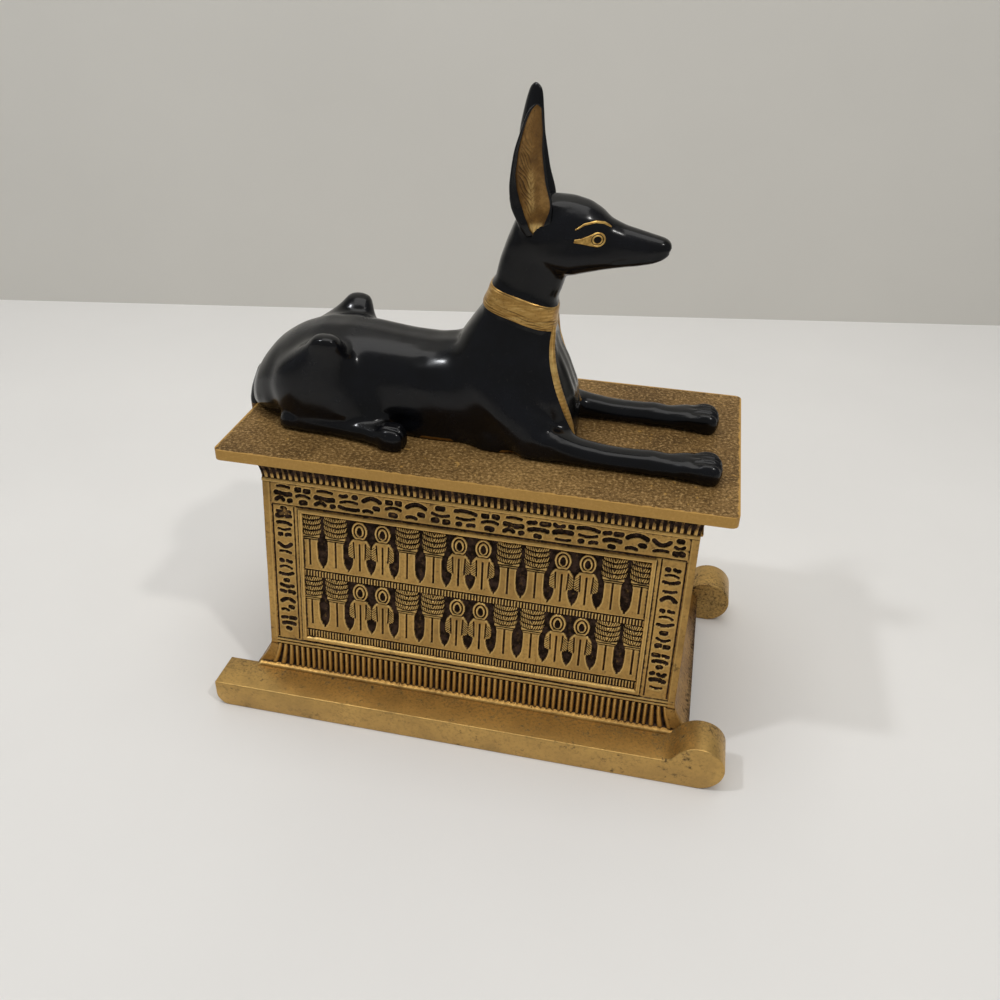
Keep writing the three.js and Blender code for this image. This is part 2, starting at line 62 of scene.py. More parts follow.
# Sizes of the carving, some of them finer than the part's
# Each row of figures: its foot, its ground line's underside, and its ladder's bottom and top
ROWS = ((57.2, 56.0, 53.2, 55.4), (31.9, 30.3, 26.9, 29.7))
FIGURE_HEIGHT = 21
FLUTE_PITCH, LADDER_PITCH, NOTCH_PITCH = 2.25, 1.12, 2.3
FLUTE_HALF, FLUTE_BOTTOM, FLUTE_TOP = 74.6, 12.5, 21.6
NOTCH_TOP = 97.5
FRAME_WIDTH = 1.5
# The strips for the inscription: seed, left, right, bottom, top and whether it runs upright
STRIP_OUTER, STRIP_INNER = 74.4, 66.2
INSCRIPTION = ((11, -73.5, 73.5, 81.7, 89.0, False), (12, -73.2, -67.3, 28.0, 80.0, True),
               (13, 67.3, 73.2, 28.0, 80.0, True))


# Meshes
def new_object(name, vertices, faces, smooth=True):
    mesh = bpy.data.meshes.new(name)
    mesh.from_pydata([tuple(v) for v in vertices], [], [tuple(f) for f in faces])
    mesh.update()
    if smooth:
        mesh.shade_smooth()
    obj = bpy.data.objects.new(name, mesh)
    scene.collection.objects.link(obj)
    return obj


def vertex_data(mesh, name):
    """The vertices' places, with the name co, or their normals, with the name normal."""
    out = np.empty(len(mesh.vertices) * 3)
    mesh.vertices.foreach_get(name, out)
    return out.reshape(-1, 3)


def put_coordinates(mesh, points):
    mesh.vertices.foreach_set("co", np.ascontiguousarray(points, float).ravel())
    mesh.update()


def dressed(obj, material, **attributes):
    """The object with its material and with a value of each attribute at every vertex."""
    for name, values in attributes.items():
        layer = obj.data.attributes.new(name, "FLOAT", "POINT")
        layer.data.foreach_set("value", np.ascontiguousarray(values, np.float32).ravel())
    obj.data.materials.clear()
    obj.data.materials.append(material)
    return obj


def sided(name, side):
    return name + ("_near" if side < 0 else "_far")


def step(value, low, high):
    t = np.clip((value - low) / (high - low), 0, 1)
    return t * t * (3 - 2 * t)


def within(value, low, full, less, high):
    """1 from full to less, falling to 0 at low and at high."""
    return step(value, low, full) * (1 - step(value, less, high))


def groove(distance, half_width):
    """1 on a line and 0 beside it."""
    return np.exp(-(distance / half_width) ** 2)


def applied(obj):
    """The object's mesh with its modifiers worked in."""
    depsgraph = bpy.context.evaluated_depsgraph_get()
    mesh = bpy.data.meshes.new_from_object(obj.evaluated_get(depsgraph))
    obj.modifiers.clear()
    obj.data = mesh
    return obj


def bevelled(obj, width, segments, degrees):
    """The object with its edges sharper than the angle bevelled."""
    bevel = obj.modifiers.new("edge", "BEVEL")
    bevel.width = width * MM
    bevel.segments = segments
    bevel.limit_method = "ANGLE"
    bevel.angle_limit = math.radians(degrees)
    return applied(obj)


def copy_of(node, name):
    """A new object with a copy of a CAD node's mesh."""
    obj = bpy.data.objects.new(name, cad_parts[node].data.copy())
    scene.collection.objects.link(obj)
    return obj


def edited(obj, change):
    """The object with its mesh changed by a function that takes a bmesh."""
    mesh = bmesh.new()
    mesh.from_mesh(obj.data)
    change(mesh)
    mesh.to_mesh(obj.data)
    mesh.free()
    return obj


def face_outward(mesh):
    bmesh.ops.recalc_face_normals(mesh, faces=mesh.faces)


def drop_loose(mesh):
    bmesh.ops.delete(mesh, geom=[v for v in mesh.verts if not v.link_faces], context="VERTS")


# Materials
class Nodes:
    """Short names for the node calls that the materials below repeat."""

    def __init__(self, name):
        self.material = bpy.data.materials.new(name)
        self.material.use_nodes = True
        self.tree = self.material.node_tree
        self.coords = self.tree.nodes.new("ShaderNodeTexCoord").outputs["Object"]

    def feed(self, target, value):
        """Link an input to another node's output, or set it to a number or a colour."""
        if isinstance(value, bpy.types.NodeSocket):
            self.tree.links.new(value, target)
        else:
            target.default_value = (*value, 1) if target.type == "RGBA" else value

    def node(self, kind, output, inputs, **settings):
        """A new node's output, with its settings made and its inputs fed."""
        node = self.tree.nodes.new("ShaderNode" + kind)
        for name, value in settings.items():
            setattr(node, name, value)
        for place, value in inputs.items():
            self.feed(node.inputs[place], value)
        return node.outputs[output]

    def noise(self, scale, detail, roughness, stretch=None):
        place = self.coords
        if stretch:
            place = self.node("Mapping", "Vector", {"Vector": place, "Scale": stretch})
        inputs = {"Vector": place, "Scale": scale, "Detail": detail, "Roughness": roughness}
        return self.node("TexNoise", "Fac", inputs)

    def attribute(self, name):
        return self.node("Attribute", "Fac", {}, attribute_name=name)

    def ramp(self, source, *stops):
        node = self.tree.nodes.new("ShaderNodeValToRGB")
        elements = node.color_ramp.elements
        while len(elements) < len(stops):
            elements.new(0.5)
        for element, (place, color) in zip(elements, stops):
            element.position = place
            element.color = (*color, 1)
        self.feed(node.inputs["Fac"], source)
        return node.outputs["Color"]

    def grey(self, source, low, high, dark=0.0, light=1.0):
        inputs = {"Value": source, "From Min": low, "From Max": high, "To Min": dark, "To Max": light}
        return self.node("MapRange", "Result", inputs, interpolation_type="SMOOTHSTEP")

    def math(self, operation, *values):
        return self.node("Math", "Value", dict(enumerate(values)), operation=operation)

    def mix(self, factor, first, second):
        return self.node("Mix", 2, {0: factor, 6: first, 7: second}, data_type="RGBA")

    def over(self, base, color, amount, source, low, high):
        """The base under that much of a colour, which comes in as the source goes up."""
        return self.mix(self.grey(source, low, high, 0.0, amount), base, color)

    def bump(self, height, strength, distance, under=None):
        inputs = {"Height": height, "Strength": strength, "Distance": distance}
        if under is not None:
            inputs["Normal"] = under
        return self.node("Bump", "Normal", inputs)

    def finish(self, color, roughness, metallic=0.0, specular=0.5, normal=None, coat=None):
        """The material, with its shader fed. A coat is its weight and roughness."""
        inputs = {"Base Color": color, "Roughness": roughness, "Metallic": metallic,
                  "Specular IOR Level": specular}
        if normal is not None:
            inputs["Normal"] = normal
        if coat:
            inputs["Coat Weight"], inputs["Coat Roughness"] = coat
        for name, value in inputs.items():
            self.feed(self.tree.nodes["Principled BSDF"].inputs[name], value)
        return self.material


GOLD_RUBBED = (0.8, 0.54, 0.19)
GOLD_LIGHT = (0.52, 0.3, 0.08)
GOLD = (0.34, 0.18, 0.042)
GOLD_DARK = (0.14, 0.065, 0.013)
# the dark brown of the wash in the hollows and cuts, which on the chest also paints the shade under
# the slab's overhang and beside the chest
DARK_WASH_AND_SHADE = (0.012, 0.0055, 0.002)


def relief_gold():
    """Antique gold paint: dark brown wash in the hollows, painted shade under the slab's overhang and
    on the runners beside the chest, and rubbed bright edges.
    """
    n = Nodes("relief_gold")
    fine = n.noise(900, 3, 0.6)
    base = n.ramp(n.noise(55, 5, 0.6), (0.3, GOLD_DARK), (0.46, GOLD), (0.7, GOLD_LIGHT))
    base = n.over(base, GOLD_DARK, 0.6, fine, 0.42, 0.72)
    base = n.over(base, GOLD_RUBBED, 0.8, n.attribute("rub"), 0.0, 1.0)
    wash = n.math("ADD", n.attribute("wash"), n.grey(fine, 0.3, 0.75, -0.12, 0.14))
    wash = n.math("ADD", wash, n.grey(n.noise(240, 5, 0.65), 0.52, 0.72, 0.0, 0.26))
    wash = n.grey(wash, 0.1, 0.6)
    worn_wash = n.mix(n.grey(n.noise(420, 4, 0.6), 0.42, 0.62), DARK_WASH_AND_SHADE, (0.05, 0.028, 0.019))
    soft = n.bump(fine, 0.35, 0.00025)
    return n.finish(n.mix(wash, base, worn_wash), n.grey(wash, 0, 1, 0.4, 0.7),
                    n.grey(wash, 0, 1, 0.8, 0.0), n.grey(wash, 0, 1, 0.5, 0.1),
                    n.bump(n.noise(2600, 2, 0.5), 0.3, 0.00008, soft))


def slab_gold():
    """The slab's top: thin gold paint brushed over brown, with fine grit."""
    n = Nodes("slab_gold")
    grit = n.noise(900, 4, 0.7)
    speck = n.noise(420, 2, 0.5)
    base = n.ramp(n.noise(30, 6, 0.66), (0.32, (0.085, 0.046, 0.014)), (0.5, (0.2, 0.114, 0.037)),
                  (0.72, (0.36, 0.215, 0.075)))
    base = n.over(base, (0.045, 0.024, 0.008), 0.6, grit, 0.46, 0.6)
    base = n.mix(n.grey(grit, 0.34, 0.47, 0.6, 0.0), base, (0.6, 0.4, 0.17))
    base = n.over(base, GOLD_LIGHT, 0.6, speck, 0.68, 0.76)
    # the rim and the edge faces are rubbed bright
    along = n.node("SeparateXYZ", "X", {"Vector": n.coords})
    across = n.node("SeparateXYZ", "Y", {"Vector": n.coords})
    along = n.math("ABSOLUTE", n.math("SUBTRACT", along, SHIFT_X * MM))
    edge = n.math("MINIMUM", n.math("SUBTRACT", SLAB_LENGTH / 2 * MM, along),
                  n.math("SUBTRACT", SLAB_WIDTH / 2 * MM, n.math("ABSOLUTE", across)))
    edge = n.math("ADD", edge, n.grey(speck, 0.3, 0.7, -0.0003, 0.0003))
    base = n.mix(n.grey(edge, 0.0004, 0.001, 0.85, 0.0), base, GOLD_LIGHT)
    return n.finish(base, n.grey(grit, 0.3, 0.7, 0.42, 0.66), 0.2, 0.12,
                    n.bump(grit, 0.45, 0.00022))


def jackal_paint():
    """Gloss black, with gold where the attribute gold says so and dark strokes in the gold."""
    n = Nodes("jackal_paint")
    blotch = n.noise(60, 5, 0.6)
    fine = n.noise(1100, 3, 0.6)
    ink = n.attribute("ink")
    black = n.ramp(blotch, (0.35, (0.0022, 0.0021, 0.0021)), (0.7, (0.0042, 0.0046, 0.0066)))
    black = n.over(black, (0.04, 0.037, 0.032), 0.3, fine, 0.64, 0.76)
    gold = n.ramp(n.noise(160, 4, 0.6), (0.3, (0.09, 0.042, 0.009)), (0.5, (0.2, 0.1, 0.022)),
                  (0.74, (0.38, 0.215, 0.06)))
    gold = n.over(gold, GOLD_DARK, 0.5, fine, 0.42, 0.7)
    gold = n.over(gold, GOLD_RUBBED, 0.75, n.attribute("rub"), 0.0, 1.0)
    gold = n.over(gold, DARK_WASH_AND_SHADE, 0.9, ink, 0.15, 0.8)
    mask = n.grey(n.attribute("gold"), -0.1, 0.1)
    rough = n.math("ADD", n.grey(blotch, 0.3, 0.75, 0.2, 0.3), n.math("MULTIPLY", mask, 0.17))
    wavy = n.bump(n.noise(140, 3, 0.5), 0.25, 0.0006)
    incised = n.bump(ink, 0.5, -0.0003, wavy)
    return n.finish(n.mix(mask, black, gold), rough, n.math("MULTIPLY", mask, 0.6), 0.1,
                    n.bump(n.noise(2400, 2, 0.5), 0.12, 0.00006, incised), (0.3, 0.15))


def polished_gold():
    """The neck band and ribbons: brushed bright gold, dark where the attribute ink says so."""
    n = Nodes("polished_gold")
    along = n.noise(200, 4, 0.6, (1, 1, 7))
    fine = n.noise(1300, 3, 0.6)
    gold = n.ramp(along, (0.3, GOLD), (0.5, GOLD_LIGHT), (0.72, (0.7, 0.46, 0.16)))
    gold = n.over(gold, GOLD, 0.6, n.noise(80, 4, 0.6), 0.48, 0.7)
    gold = n.over(gold, GOLD_RUBBED, 0.7, n.noise(110, 3, 0.6), 0.56, 0.7)
    gold = n.over(gold, GOLD_DARK, 0.5, fine, 0.52, 0.74)
    gold = n.over(gold, DARK_WASH_AND_SHADE, 0.92, n.attribute("ink"), 0.1, 0.9)
    return n.finish(gold, n.grey(fine, 0.3, 0.7, 0.28, 0.44), 0.7, 0.5,
                    n.bump(along, 0.35, 0.00012, n.bump(fine, 0.25, 0.00008)))


# The jackal's own frame: where its origin lies, and how much it is turned and skewed
FIGURE_REAR, FIGURE_SIDE, FIGURE_FOOT = 88, 1.5, 108.1
FIGURE_TURN, FIGURE_SKEW = 0.014, 0.055


def to_local(points):
    """Scene points in metres to the figure's frame: X from its rear, Y across, Z from its foot."""
    x, y, z = (points / MM).T
    x, y = x - SHIFT_X + FIGURE_REAR, y + FIGURE_SIDE
    across = (y + FIGURE_TURN * x) / (1 - FIGURE_TURN * FIGURE_SKEW)
    return np.stack([x + FIGURE_SKEW * across, across, z - FIGURE_FOOT], 1)


def from_local(points):
    x, y, z = points.T
    return np.stack([x - FIGURE_SKEW * y - FIGURE_REAR + SHIFT_X,
                     y - FIGURE_TURN * x - FIGURE_SIDE, z + FIGURE_FOOT], 1) * MM


def neighbour_pairs(mesh):
    edges = np.empty(len(mesh.edges) * 2, int)
    mesh.edges.foreach_get("vertices", edges)
    return edges.reshape(-1, 2)


def neighbours_mean(values, edges):
    count = len(values)
    total = np.stack([np.bincount(edges[:, 0], column[edges[:, 1]], count)
                      + np.bincount(edges[:, 1], column[edges[:, 0]], count)
                      for column in values.T], 1)
    valence = np.bincount(edges.ravel(), minlength=count)
    return total / np.maximum(valence, 1)[:, None]


# Smoothing steps: in and out (Taubin), so thin forms keep their size, or only in, to wear ridges down
KEEP_SIZE, WEAR_DOWN = (0.6, -0.615), (0.5,)


def smoothed(points, edges, rounds, steps, amount):
    for _ in range(rounds):
        for weight in steps:
            pull = neighbours_mean(points, edges) - points
            points = points + weight * amount[:, None] * pull
    return points


def path_distance(points, path):
    """Distance to a polyline, and how far along it the nearest point is, from 0 to 1."""
    best = np.full(len(points), 1e9)
    along = np.zeros(len(points))
    pieces = len(path) - 1
    for i in range(pieces):
        a, b = np.array(path[i], float), np.array(path[i + 1], float)
        run = b - a
        t = np.clip(((points - a) @ run) / (run @ run), 0, 1)
        distance = np.linalg.norm(points - a - t[:, None] * run, axis=1)
        nearer = distance < best
        best[nearer] = distance[nearer]
        along[nearer] = (i + t[nearer]) / pieces
    return best, along


def polygon_distance(points, corners):
    """Signed distance to a closed outline, positive inside."""
    loop = [*corners, corners[0]]
    edge, _ = path_distance(points, loop)
    inside = np.zeros(len(points), bool)
    x, y = points.T
    for (x0, y0), (x1, y1) in zip(loop[:-1], loop[1:]):
        crosses = (y0 > y) != (y1 > y)
        with np.errstate(divide="ignore", invalid="ignore"):
            where = x0 + (y - y0) * (x1 - x0) / (y1 - y0)
        inside ^= crosses & (x < where)
    return np.where(inside, edge, -edge)


# The gilt inside of an ear, in the figure's X and Z
EAR_GILT = [
    (99.7, 111.6), (98.4, 107.6), (97.0, 103.4), (95.9, 98.9), (95.7, 95.6), (95.8, 90.7),
    (96.2, 86.9), (97.3, 82.5), (98.8, 78.2), (99.7, 76.3), (100.4, 73.9), (101.5, 72.0),
    (102.9, 71.7), (103.9, 73.4), (104.7, 75.8), (105.9, 79.2), (106.5, 83.2), (106.4, 86),
    (105.4, 89.4), (104.4, 91.7), (103.9, 94), (103.6, 97.9), (103.1, 103), (102.6, 108.4),
    (102.2, 111.6),
]
RIBBON = [(109.3, 5.0, 41.5), (109.8, 8.6, 36), (110.9, 12.2, 29.5), (113.4, 14, 21),
          (116.4, 13.6, 13), (118, 12.2, 8)]
BAND_CENTRE, BAND_TILT, BAND_HALF = np.array([98.5, 0, 47.1]), 0.265, 4.1

# The ear's stations, as in the part: z, x, y, width, depth, dish
EAR = np.array([
    (71.5, 101, 6.8, 5.4, 3.4, 0.2),
    (76, 100.9, 8.2, 10.6, 6.2, 1.3),
    (82.5, 99.7, 9.2, 13.4, 7, 2),
    (90, 98.5, 9.9, 12, 6, 1.9),
    (98, 98.3, 10.4, 9.8, 4.8, 1.5),
    (105.5, 99, 10.8, 7.2, 3.6, 0.9),
    (110.5, 99.7, 11, 4.9, 2.6, 0.4),
    (112.9, 100, 11.1, 2.4, 1.4, 0.1),
])
EAR_ROOT, EAR_TIP = 76, 112.9
EAR_FACING = math.radians(62)
# How far the tip of the near and of the far ear leans, in X and in Z
EAR_LEAN = {-1: (1.1, -2.4), 1: (-2.0, 0.0)}


def curve_through(at, places, values):
    """A smooth curve through the values that never overshoots them."""
    gap = np.diff(places)
    slope = np.diff(values) / gap
    total = slope[:-1] + slope[1:]
    same_way = slope[:-1] * slope[1:] > 0
    inner = np.where(same_way, 2 * slope[:-1] * slope[1:] / np.where(same_way, total, 1), 0)
    tangent = np.concatenate([slope[:1], inner, slope[-1:]])
    k = np.clip(np.searchsorted(places, at, side="right") - 1, 0, len(gap) - 1)
    t = np.clip((at - places[k]) / gap[k], 0, 1)
    rise = t ** 2 * (3 - 2 * t)
    bend = tangent[k] * (t ** 3 - 2 * t ** 2 + t) + tangent[k + 1] * (t ** 3 - t ** 2)
    return values[k] * (1 - rise) + values[k + 1] * rise + gap[k] * bend


def ear_lean(z):
    return np.clip(z - EAR_ROOT, 0, None) / (EAR_TIP - EAR_ROOT)


def ear_section(z, side):
    """The ear's centre, width, depth and dish at heights z, counted before it leans."""
    x, y, width, depth, dish = (curve_through(z, EAR[:, 0], EAR[:, k]) for k in range(1, 6))
    lean_x, lean_z = EAR_LEAN[side]
    centre = np.stack([x + lean_x * ear_lean(z), side * y, z + lean_z * ear_lean(z)], -1)
    return centre, width, depth, dish


def ear_axes(side):
    """Directions across the ear, toward its front edge, and out of its open side."""
    across = np.array([math.sin(EAR_FACING), -side * math.cos(EAR_FACING), 0])
    out = np.array([math.cos(EAR_FACING), side * math.sin(EAR_FACING), 0])
    return across, out


def ear_face(across, depth, dish):
    """How far out the ear's hollow side lies, where across goes from -1 to 1."""
    return depth * 0.3 - dish * (1 - across ** 2)


def ear_back(across, depth):
    return depth * (0.25 - 0.62 * np.sqrt(np.clip(1 - across ** 2, 0, 1)))


def ear_plane(local, side):
    """X and Z as if the ear were the near one."""
    shift = np.array(EAR_LEAN[-1]) - np.array(EAR_LEAN[side])
    return local[..., 0::2] + shift * ear_lean(local[..., 2:])


def thin_ears(points):
    """Draw the remeshed ears in to a core, which the finer ears of ear_piece cover."""
    local = to_local(points)
    moved = local.copy()
    for side in (-1, 1):
        fall = -EAR_LEAN[side][1] / (EAR_TIP - EAR_ROOT)
        z = (local[:, 2] - fall * EAR_ROOT) / (1 - fall)
        centre, width, depth, dish = ear_section(np.clip(z, EAR[0, 0], EAR_TIP), side)
        across_axis, out_axis = ear_axes(side)
        offset = local - centre
        across = offset @ across_axis / (width / 2)
        out = offset @ out_axis
        close = (np.abs(across) < 1.3) & (np.abs(out) < depth * 0.6 + 0.8) & (local[:, 1] * side > 3)
        high = step(z, 84.5, 88) * close
        narrow = across * (1 - 0.3 * high)
        middle = (ear_face(narrow, depth, dish) + ear_back(narrow, depth)) / 2
        low = step(z, 70.5, 72.5) * (1 - high) * close * (out > middle)
        new_out = out * (1 - high) + middle * high - 1.3 * low
        moved += ((narrow - across) * width / 2)[:, None] * across_axis
        moved += (new_out - out)[:, None] * out_axis
        moved[:, 2] -= 1.2 * (close & (z > EAR_TIP - 1.5))
    return from_local(moved)


def worn_soft(local):
    """1 where haunch, shoulder and chest flow together, and 0 elsewhere."""
    x, y, z = local.T
    across = np.abs(y)
    haunch = within(x, 22, 32, 56, 63) * within(z, 9, 11, 29, 33) * step(across, 8, 11)
    rump = within(x, 1, 5, 26, 36) * within(z, 7, 10, 30, 34)
    cleft = within(x, 38, 42, 60, 66) * within(z, 9, 11, 38, 42) * step(across, 5, 8)
    belly = within(x, 63, 67, 96, 104) * within(z, 0.5, 3, 12, 16)
    shoulder = within(x, 66, 74, 98, 106) * within(z, 4, 8, 36, 42) * step(across, 6, 9)
    legs = 0.6 * within(x, 112, 118, 150, 157) * within(z, 2, 4, 14, 18)
    ribbon, _ = path_distance(np.stack([x, across, z], 1), RIBBON)
    return np.max([haunch, rump, cleft, belly, shoulder, legs, 1 - step(ribbon, 2.4, 4.6)], 0)


# Fuller forms that the remesh joins to the figure: centre x, y, z, then half sizes in x, y, z
FULLER_FORMS = [
    (69, 0, 3.5, 27, 17.6, 8),
    (92, 0, 3, 13, 20.5, 8),
    (56.8, 24.3, 3, 5.6, 5.2, 5.2),
    (163.6, 18, 3.2, 5.2, 6.5, 4.9),
]


def rounded_form(centre, half):
    """Vertices and faces of a rounded block, in the figure's frame."""
    rows, columns = 15, 28
    rise, turn = np.meshgrid(np.linspace(-math.pi / 2, math.pi / 2, rows),
                             np.linspace(0, 2 * math.pi, columns, endpoint=False), indexing="ij")
    directions = np.stack([np.cos(rise) * np.cos(turn), np.cos(rise) * np.sin(turn),
                           np.sin(rise)], -1)
    shaped = np.sign(directions) * np.abs(directions) ** (2 / 2.6)
    faces = grid_faces(rows, columns, closed=True)
    return (np.array(centre) + shaped * np.array(half)).reshape(-1, 3), faces


def add_fuller_forms(mesh):
    for x, y, z, *half in FULLER_FORMS:
        for side in ((-1, 1) if y else (1,)):
            points, faces = rounded_form((x, side * y, z), half)
            made = [mesh.verts.new(point) for point in from_local(points)]
            for face in faces:
                mesh.faces.new([made[k] for k in face])
    bmesh.ops.remove_doubles(mesh, verts=mesh.verts, dist=1e-6)
    face_outward(mesh)


# The toes of a fore and a hind foot: where their grooves begin, are full and end in X, the foot's
# middle and half width across, and how far across it lies
TOES = ((156.6, 163.6, 180, 18.0, 6.2, 0, 27), (52.6, 57.6, 66, 24.2, 5.0, 15, 99))
TOE_GROOVES = (-0.48, 0.0, 0.48)
# Soft forms: their height, X, Z, half sizes in X and Z, and how far from the middle they begin
NOSTRIL = (-0.45, 143.2, 69.9, 0.9, 0.7, 1.2)
CHEEK = (0.5, 113, 66, 5.93, 4.35, 3)
EYE_SOCKET = (-0.55, 121, 72.2, 5.31, 3.43, 2)
FLANK = (-0.5, 60, 17, 7.89, 7.89, 8)


def sculpt(local, out):
    """How far the surface stands out at each point, in mm, given the figure's frame."""
    x, y, z = local.T
    across = np.abs(y)
    rise = np.zeros(len(x))
    for start, full, end, middle, half, inner, outer in TOES:
        near = step(x, start, full) * (x < end) * (across > inner) * (across < outer) * (z < 9.5)
        u = (across - middle) / half
        rise -= 1.05 * near * sum(groove(u - place, 0.16) for place in TOE_GROOVES)
    lip = np.interp(x, [124, 131, 138, 143], [64.4, 65.6, 66.6, 68.2])
    rise -= 0.4 * groove(z - lip, 0.55) * step(x, 124.5, 129)
    for height, place_x, place_z, half_x, half_z, inner in (NOSTRIL, CHEEK, EYE_SOCKET, FLANK):
        rise += height * groove(x - place_x, half_x) * groove(z - place_z, half_z) * (across > inner)
    # ridges down the middle of the chest, between the ribbons
    chest = (out[:, 0] > 0.45) * within(z, 10, 16, 34, 41) * (x > 100) * (1 - step(across, 6.5, 9))
    return rise + 0.15 * chest * np.cos(y * 2 * math.pi / 6.4)


def jackal_piece(material):
    obj = edited(copy_of("jackal", "jackal_figure"), add_fuller_forms)
    remesh = obj.modifiers.new("even", "REMESH")
    remesh.mode = "VOXEL"
    remesh.voxel_size = 0.72 * MM
    applied(obj)
    mesh = obj.data
    edges = neighbour_pairs(mesh)
    points = vertex_data(mesh, "co")
    local = to_local(points)
    # crisp places are smoothed less, and where forms should flow together more
    crisp = (local[:, 0] > 125) | (local[:, 2] < 1.2)
    points = smoothed(points, edges, 130, KEEP_SIZE, np.where(crisp, 0.6, 1.0))
    points = smoothed(points, edges, 80, WEAR_DOWN, worn_soft(to_local(points)))
    points = thin_ears(points)
    x, y, z = to_local(points).T
    ear_root = within(z, 69, 71.5, 82, 86) * within(x, 95, 98, 108, 112)
    points = smoothed(points, edges, 26, WEAR_DOWN, ear_root)
    put_coordinates(mesh, points)
    local = to_local(points)
    facing = vertex_data(mesh, "normal")
    points = points + facing * sculpt(local, facing)[:, None] * MM
    # flat where it stands on the slab, while the tail hangs free behind the slab's rear edge
    x, y, z = local.T
    on_slab = x > 0.6
    points[on_slab, 2] = np.maximum(points[on_slab, 2], FIGURE_FOOT * MM)
    put_coordinates(mesh, points)
    # rubbed gilding shows in two stretches where the figure meets the slab
    stretch = np.maximum(within(x, 63, 66, 76, 79), within(x, 92, 95, 101, 104))
    mesh.shade_smooth()
    return dressed(obj, material, gold=np.where(y < 0, 1.2 - z - 3 * (1 - stretch), -5),
                   ink=np.zeros(len(z)))


def grid_faces(rows, columns, closed=False):
    """Quads between the rows of a grid, which runs round on itself where closed."""
    faces = []
    for r in range(rows - 1):
        for c in range(columns if closed else columns - 1):
            a, b = r * columns + c, r * columns + (c + 1) % columns
            faces.append((a, b, b + columns, a + columns))
    return faces


def ear_piece(side, material):
    """An ear lofted finely from the solid's own stations, gilt and incised with hair inside."""
    rows, back_steps, face_steps = ((150, 34, 44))
    heights = EAR[0, 0] + (EAR_TIP - EAR[0, 0]) * np.sin(np.linspace(0, math.pi / 2, rows)) ** 0.92
    centre, width, depth, dish = ear_section(heights, side)
    cap = np.sqrt(np.clip(1 - (np.clip(heights - EAR_TIP + 1.4, 0, None) / 1.4) ** 2, 0.03, 1))
    width, depth = width * cap, depth * cap
    across_axis, out_axis = ear_axes(side)
    turn = np.linspace(0, math.pi, back_steps)
    face = np.linspace(1, -1, face_steps + 2)[1:-1]
    back = -np.cos(turn)
    across = np.concatenate([back, face * 0.97])
    columns = len(across)
    is_face = np.arange(columns) >= back_steps
    back_out = ear_back(back, depth[:, None])
    face_out = ear_face(face, depth[:, None], dish[:, None])
    face_out += 0.9 * (1 - step(heights, 75, 81))[:, None]
    out = np.concatenate([back_out, face_out], 1)
    half = width[:, None] / 2
    local = centre[:, None] + (across * half)[..., None] * across_axis + out[..., None] * out_axis
    plane = ear_plane(local, side)
    x, z = plane[..., 0], plane[..., 1]
    # the gilding keeps off both edges, and less so toward the tip
    thin = step(z, 92, 108)
    gilt = polygon_distance(plane.reshape(-1, 2), EAR_GILT).reshape(x.shape)
    gilt = np.minimum(gilt, (1 + across) * half - 1.9 + 1.1 * thin)
    gilt = np.minimum(gilt, (1 - across) * half - 0.75 + 0.35 * thin)
    gilt = np.where(is_face, gilt, -5)
    # hair: strokes that branch from a line up the middle and thin out toward the tip
    spine = x - 101.6 + 1.44 * np.sin((z - 72) / 40 * math.pi)
    wander = 0.5 * np.sin(z * 0.9) + 0.4 * np.sin(spine * 1.7 + z * 0.5)
    hair = np.sin((z - np.abs(spine) * 1.9 + wander) * 2 * math.pi / 1.7)
    fade = 1 - 0.6 * step(z, 94, 106)
    hair = step(hair, 0.1, 1.0) * step(gilt, 0.3, 1.2) * fade
    hair = np.maximum(hair, groove(spine, 0.3) * step(gilt, 0.3, 0.9) * fade * 0.7)
    local = local - (0.35 * step(gilt, -0.2, 0.45) + 0.12 * hair)[..., None] * out_axis
    faces = grid_faces(rows, columns, closed=True)
    faces += [range(columns), range((rows - 1) * columns, rows * columns)]
    obj = new_object(sided("ear", side), from_local(local.reshape(-1, 3)), faces)
    edited(obj, face_outward)
    plume = 0.7 * groove(spine, 1.1) * within(z, 77, 81, 88, 96) * (1 - 0.7 * hair)
    bright = np.maximum(1 - step(z, 73.8, 77), plume) * step(gilt, 0.0, 0.6)
    return dressed(obj, material, gold=gilt, ink=hair * (0.35 + 0.3 * step(-spine, -0.5, 1.5)),
                   rub=bright)


def laid_on(tree, starts, toward, lift):
    """Where rays from the starts meet the figure, each lifted back along its ray, in mm."""
    points = []
    for start, ray, height in zip(from_local(starts), toward, lift):
        ray = Vector(ray).normalized()
        hit = tree.ray_cast(Vector(start), ray)[0]
        if hit is None:
            hit = Vector(start) + ray * (4 * MM)
        points.append(hit - ray * (height * MM))
    return points


def band_piece(tree, material):
    """The gilt band round the neck, with thin lines round its lower half."""
    rows, columns = ((46, 260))
    level, turn = np.meshgrid(np.linspace(-BAND_HALF, BAND_HALF, rows),
                              np.linspace(0, 2 * math.pi, columns, endpoint=False), indexing="ij")
    level, turn = level.ravel(), turn.ravel()
    normal = np.array([math.sin(BAND_TILT), 0, math.cos(BAND_TILT)])
    flat = np.array([math.cos(BAND_TILT), 0, -math.sin(BAND_TILT)])
    outward = np.cos(turn)[:, None] * flat + np.sin(turn)[:, None] * np.array([0, 1, 0])
    starts = BAND_CENTRE + level[:, None] * normal + 24 * outward
    wavy = level + 0.14 * np.sin(turn * 3) + 0.08 * np.sin(turn * 11 + level)
    lines = sum(groove(wavy - at, 0.2) for at in (-3.3, -2.6, -1.8, -0.9, 3.3))
    lines = lines * (0.7 + 0.3 * np.sin(turn * 5 + level * 2))
    edge = (np.abs(level) / BAND_HALF) ** 12
    lift = 0.3 - 0.75 * edge - 0.14 * lines
    obj = new_object("neck_band", laid_on(tree, starts, -outward, lift),
                     grid_faces(rows, columns, closed=True))
    return dressed(obj, material, ink=np.clip(lines * 0.75 + step(edge, 0.5, 1.0) * 0.8, 0, 1))


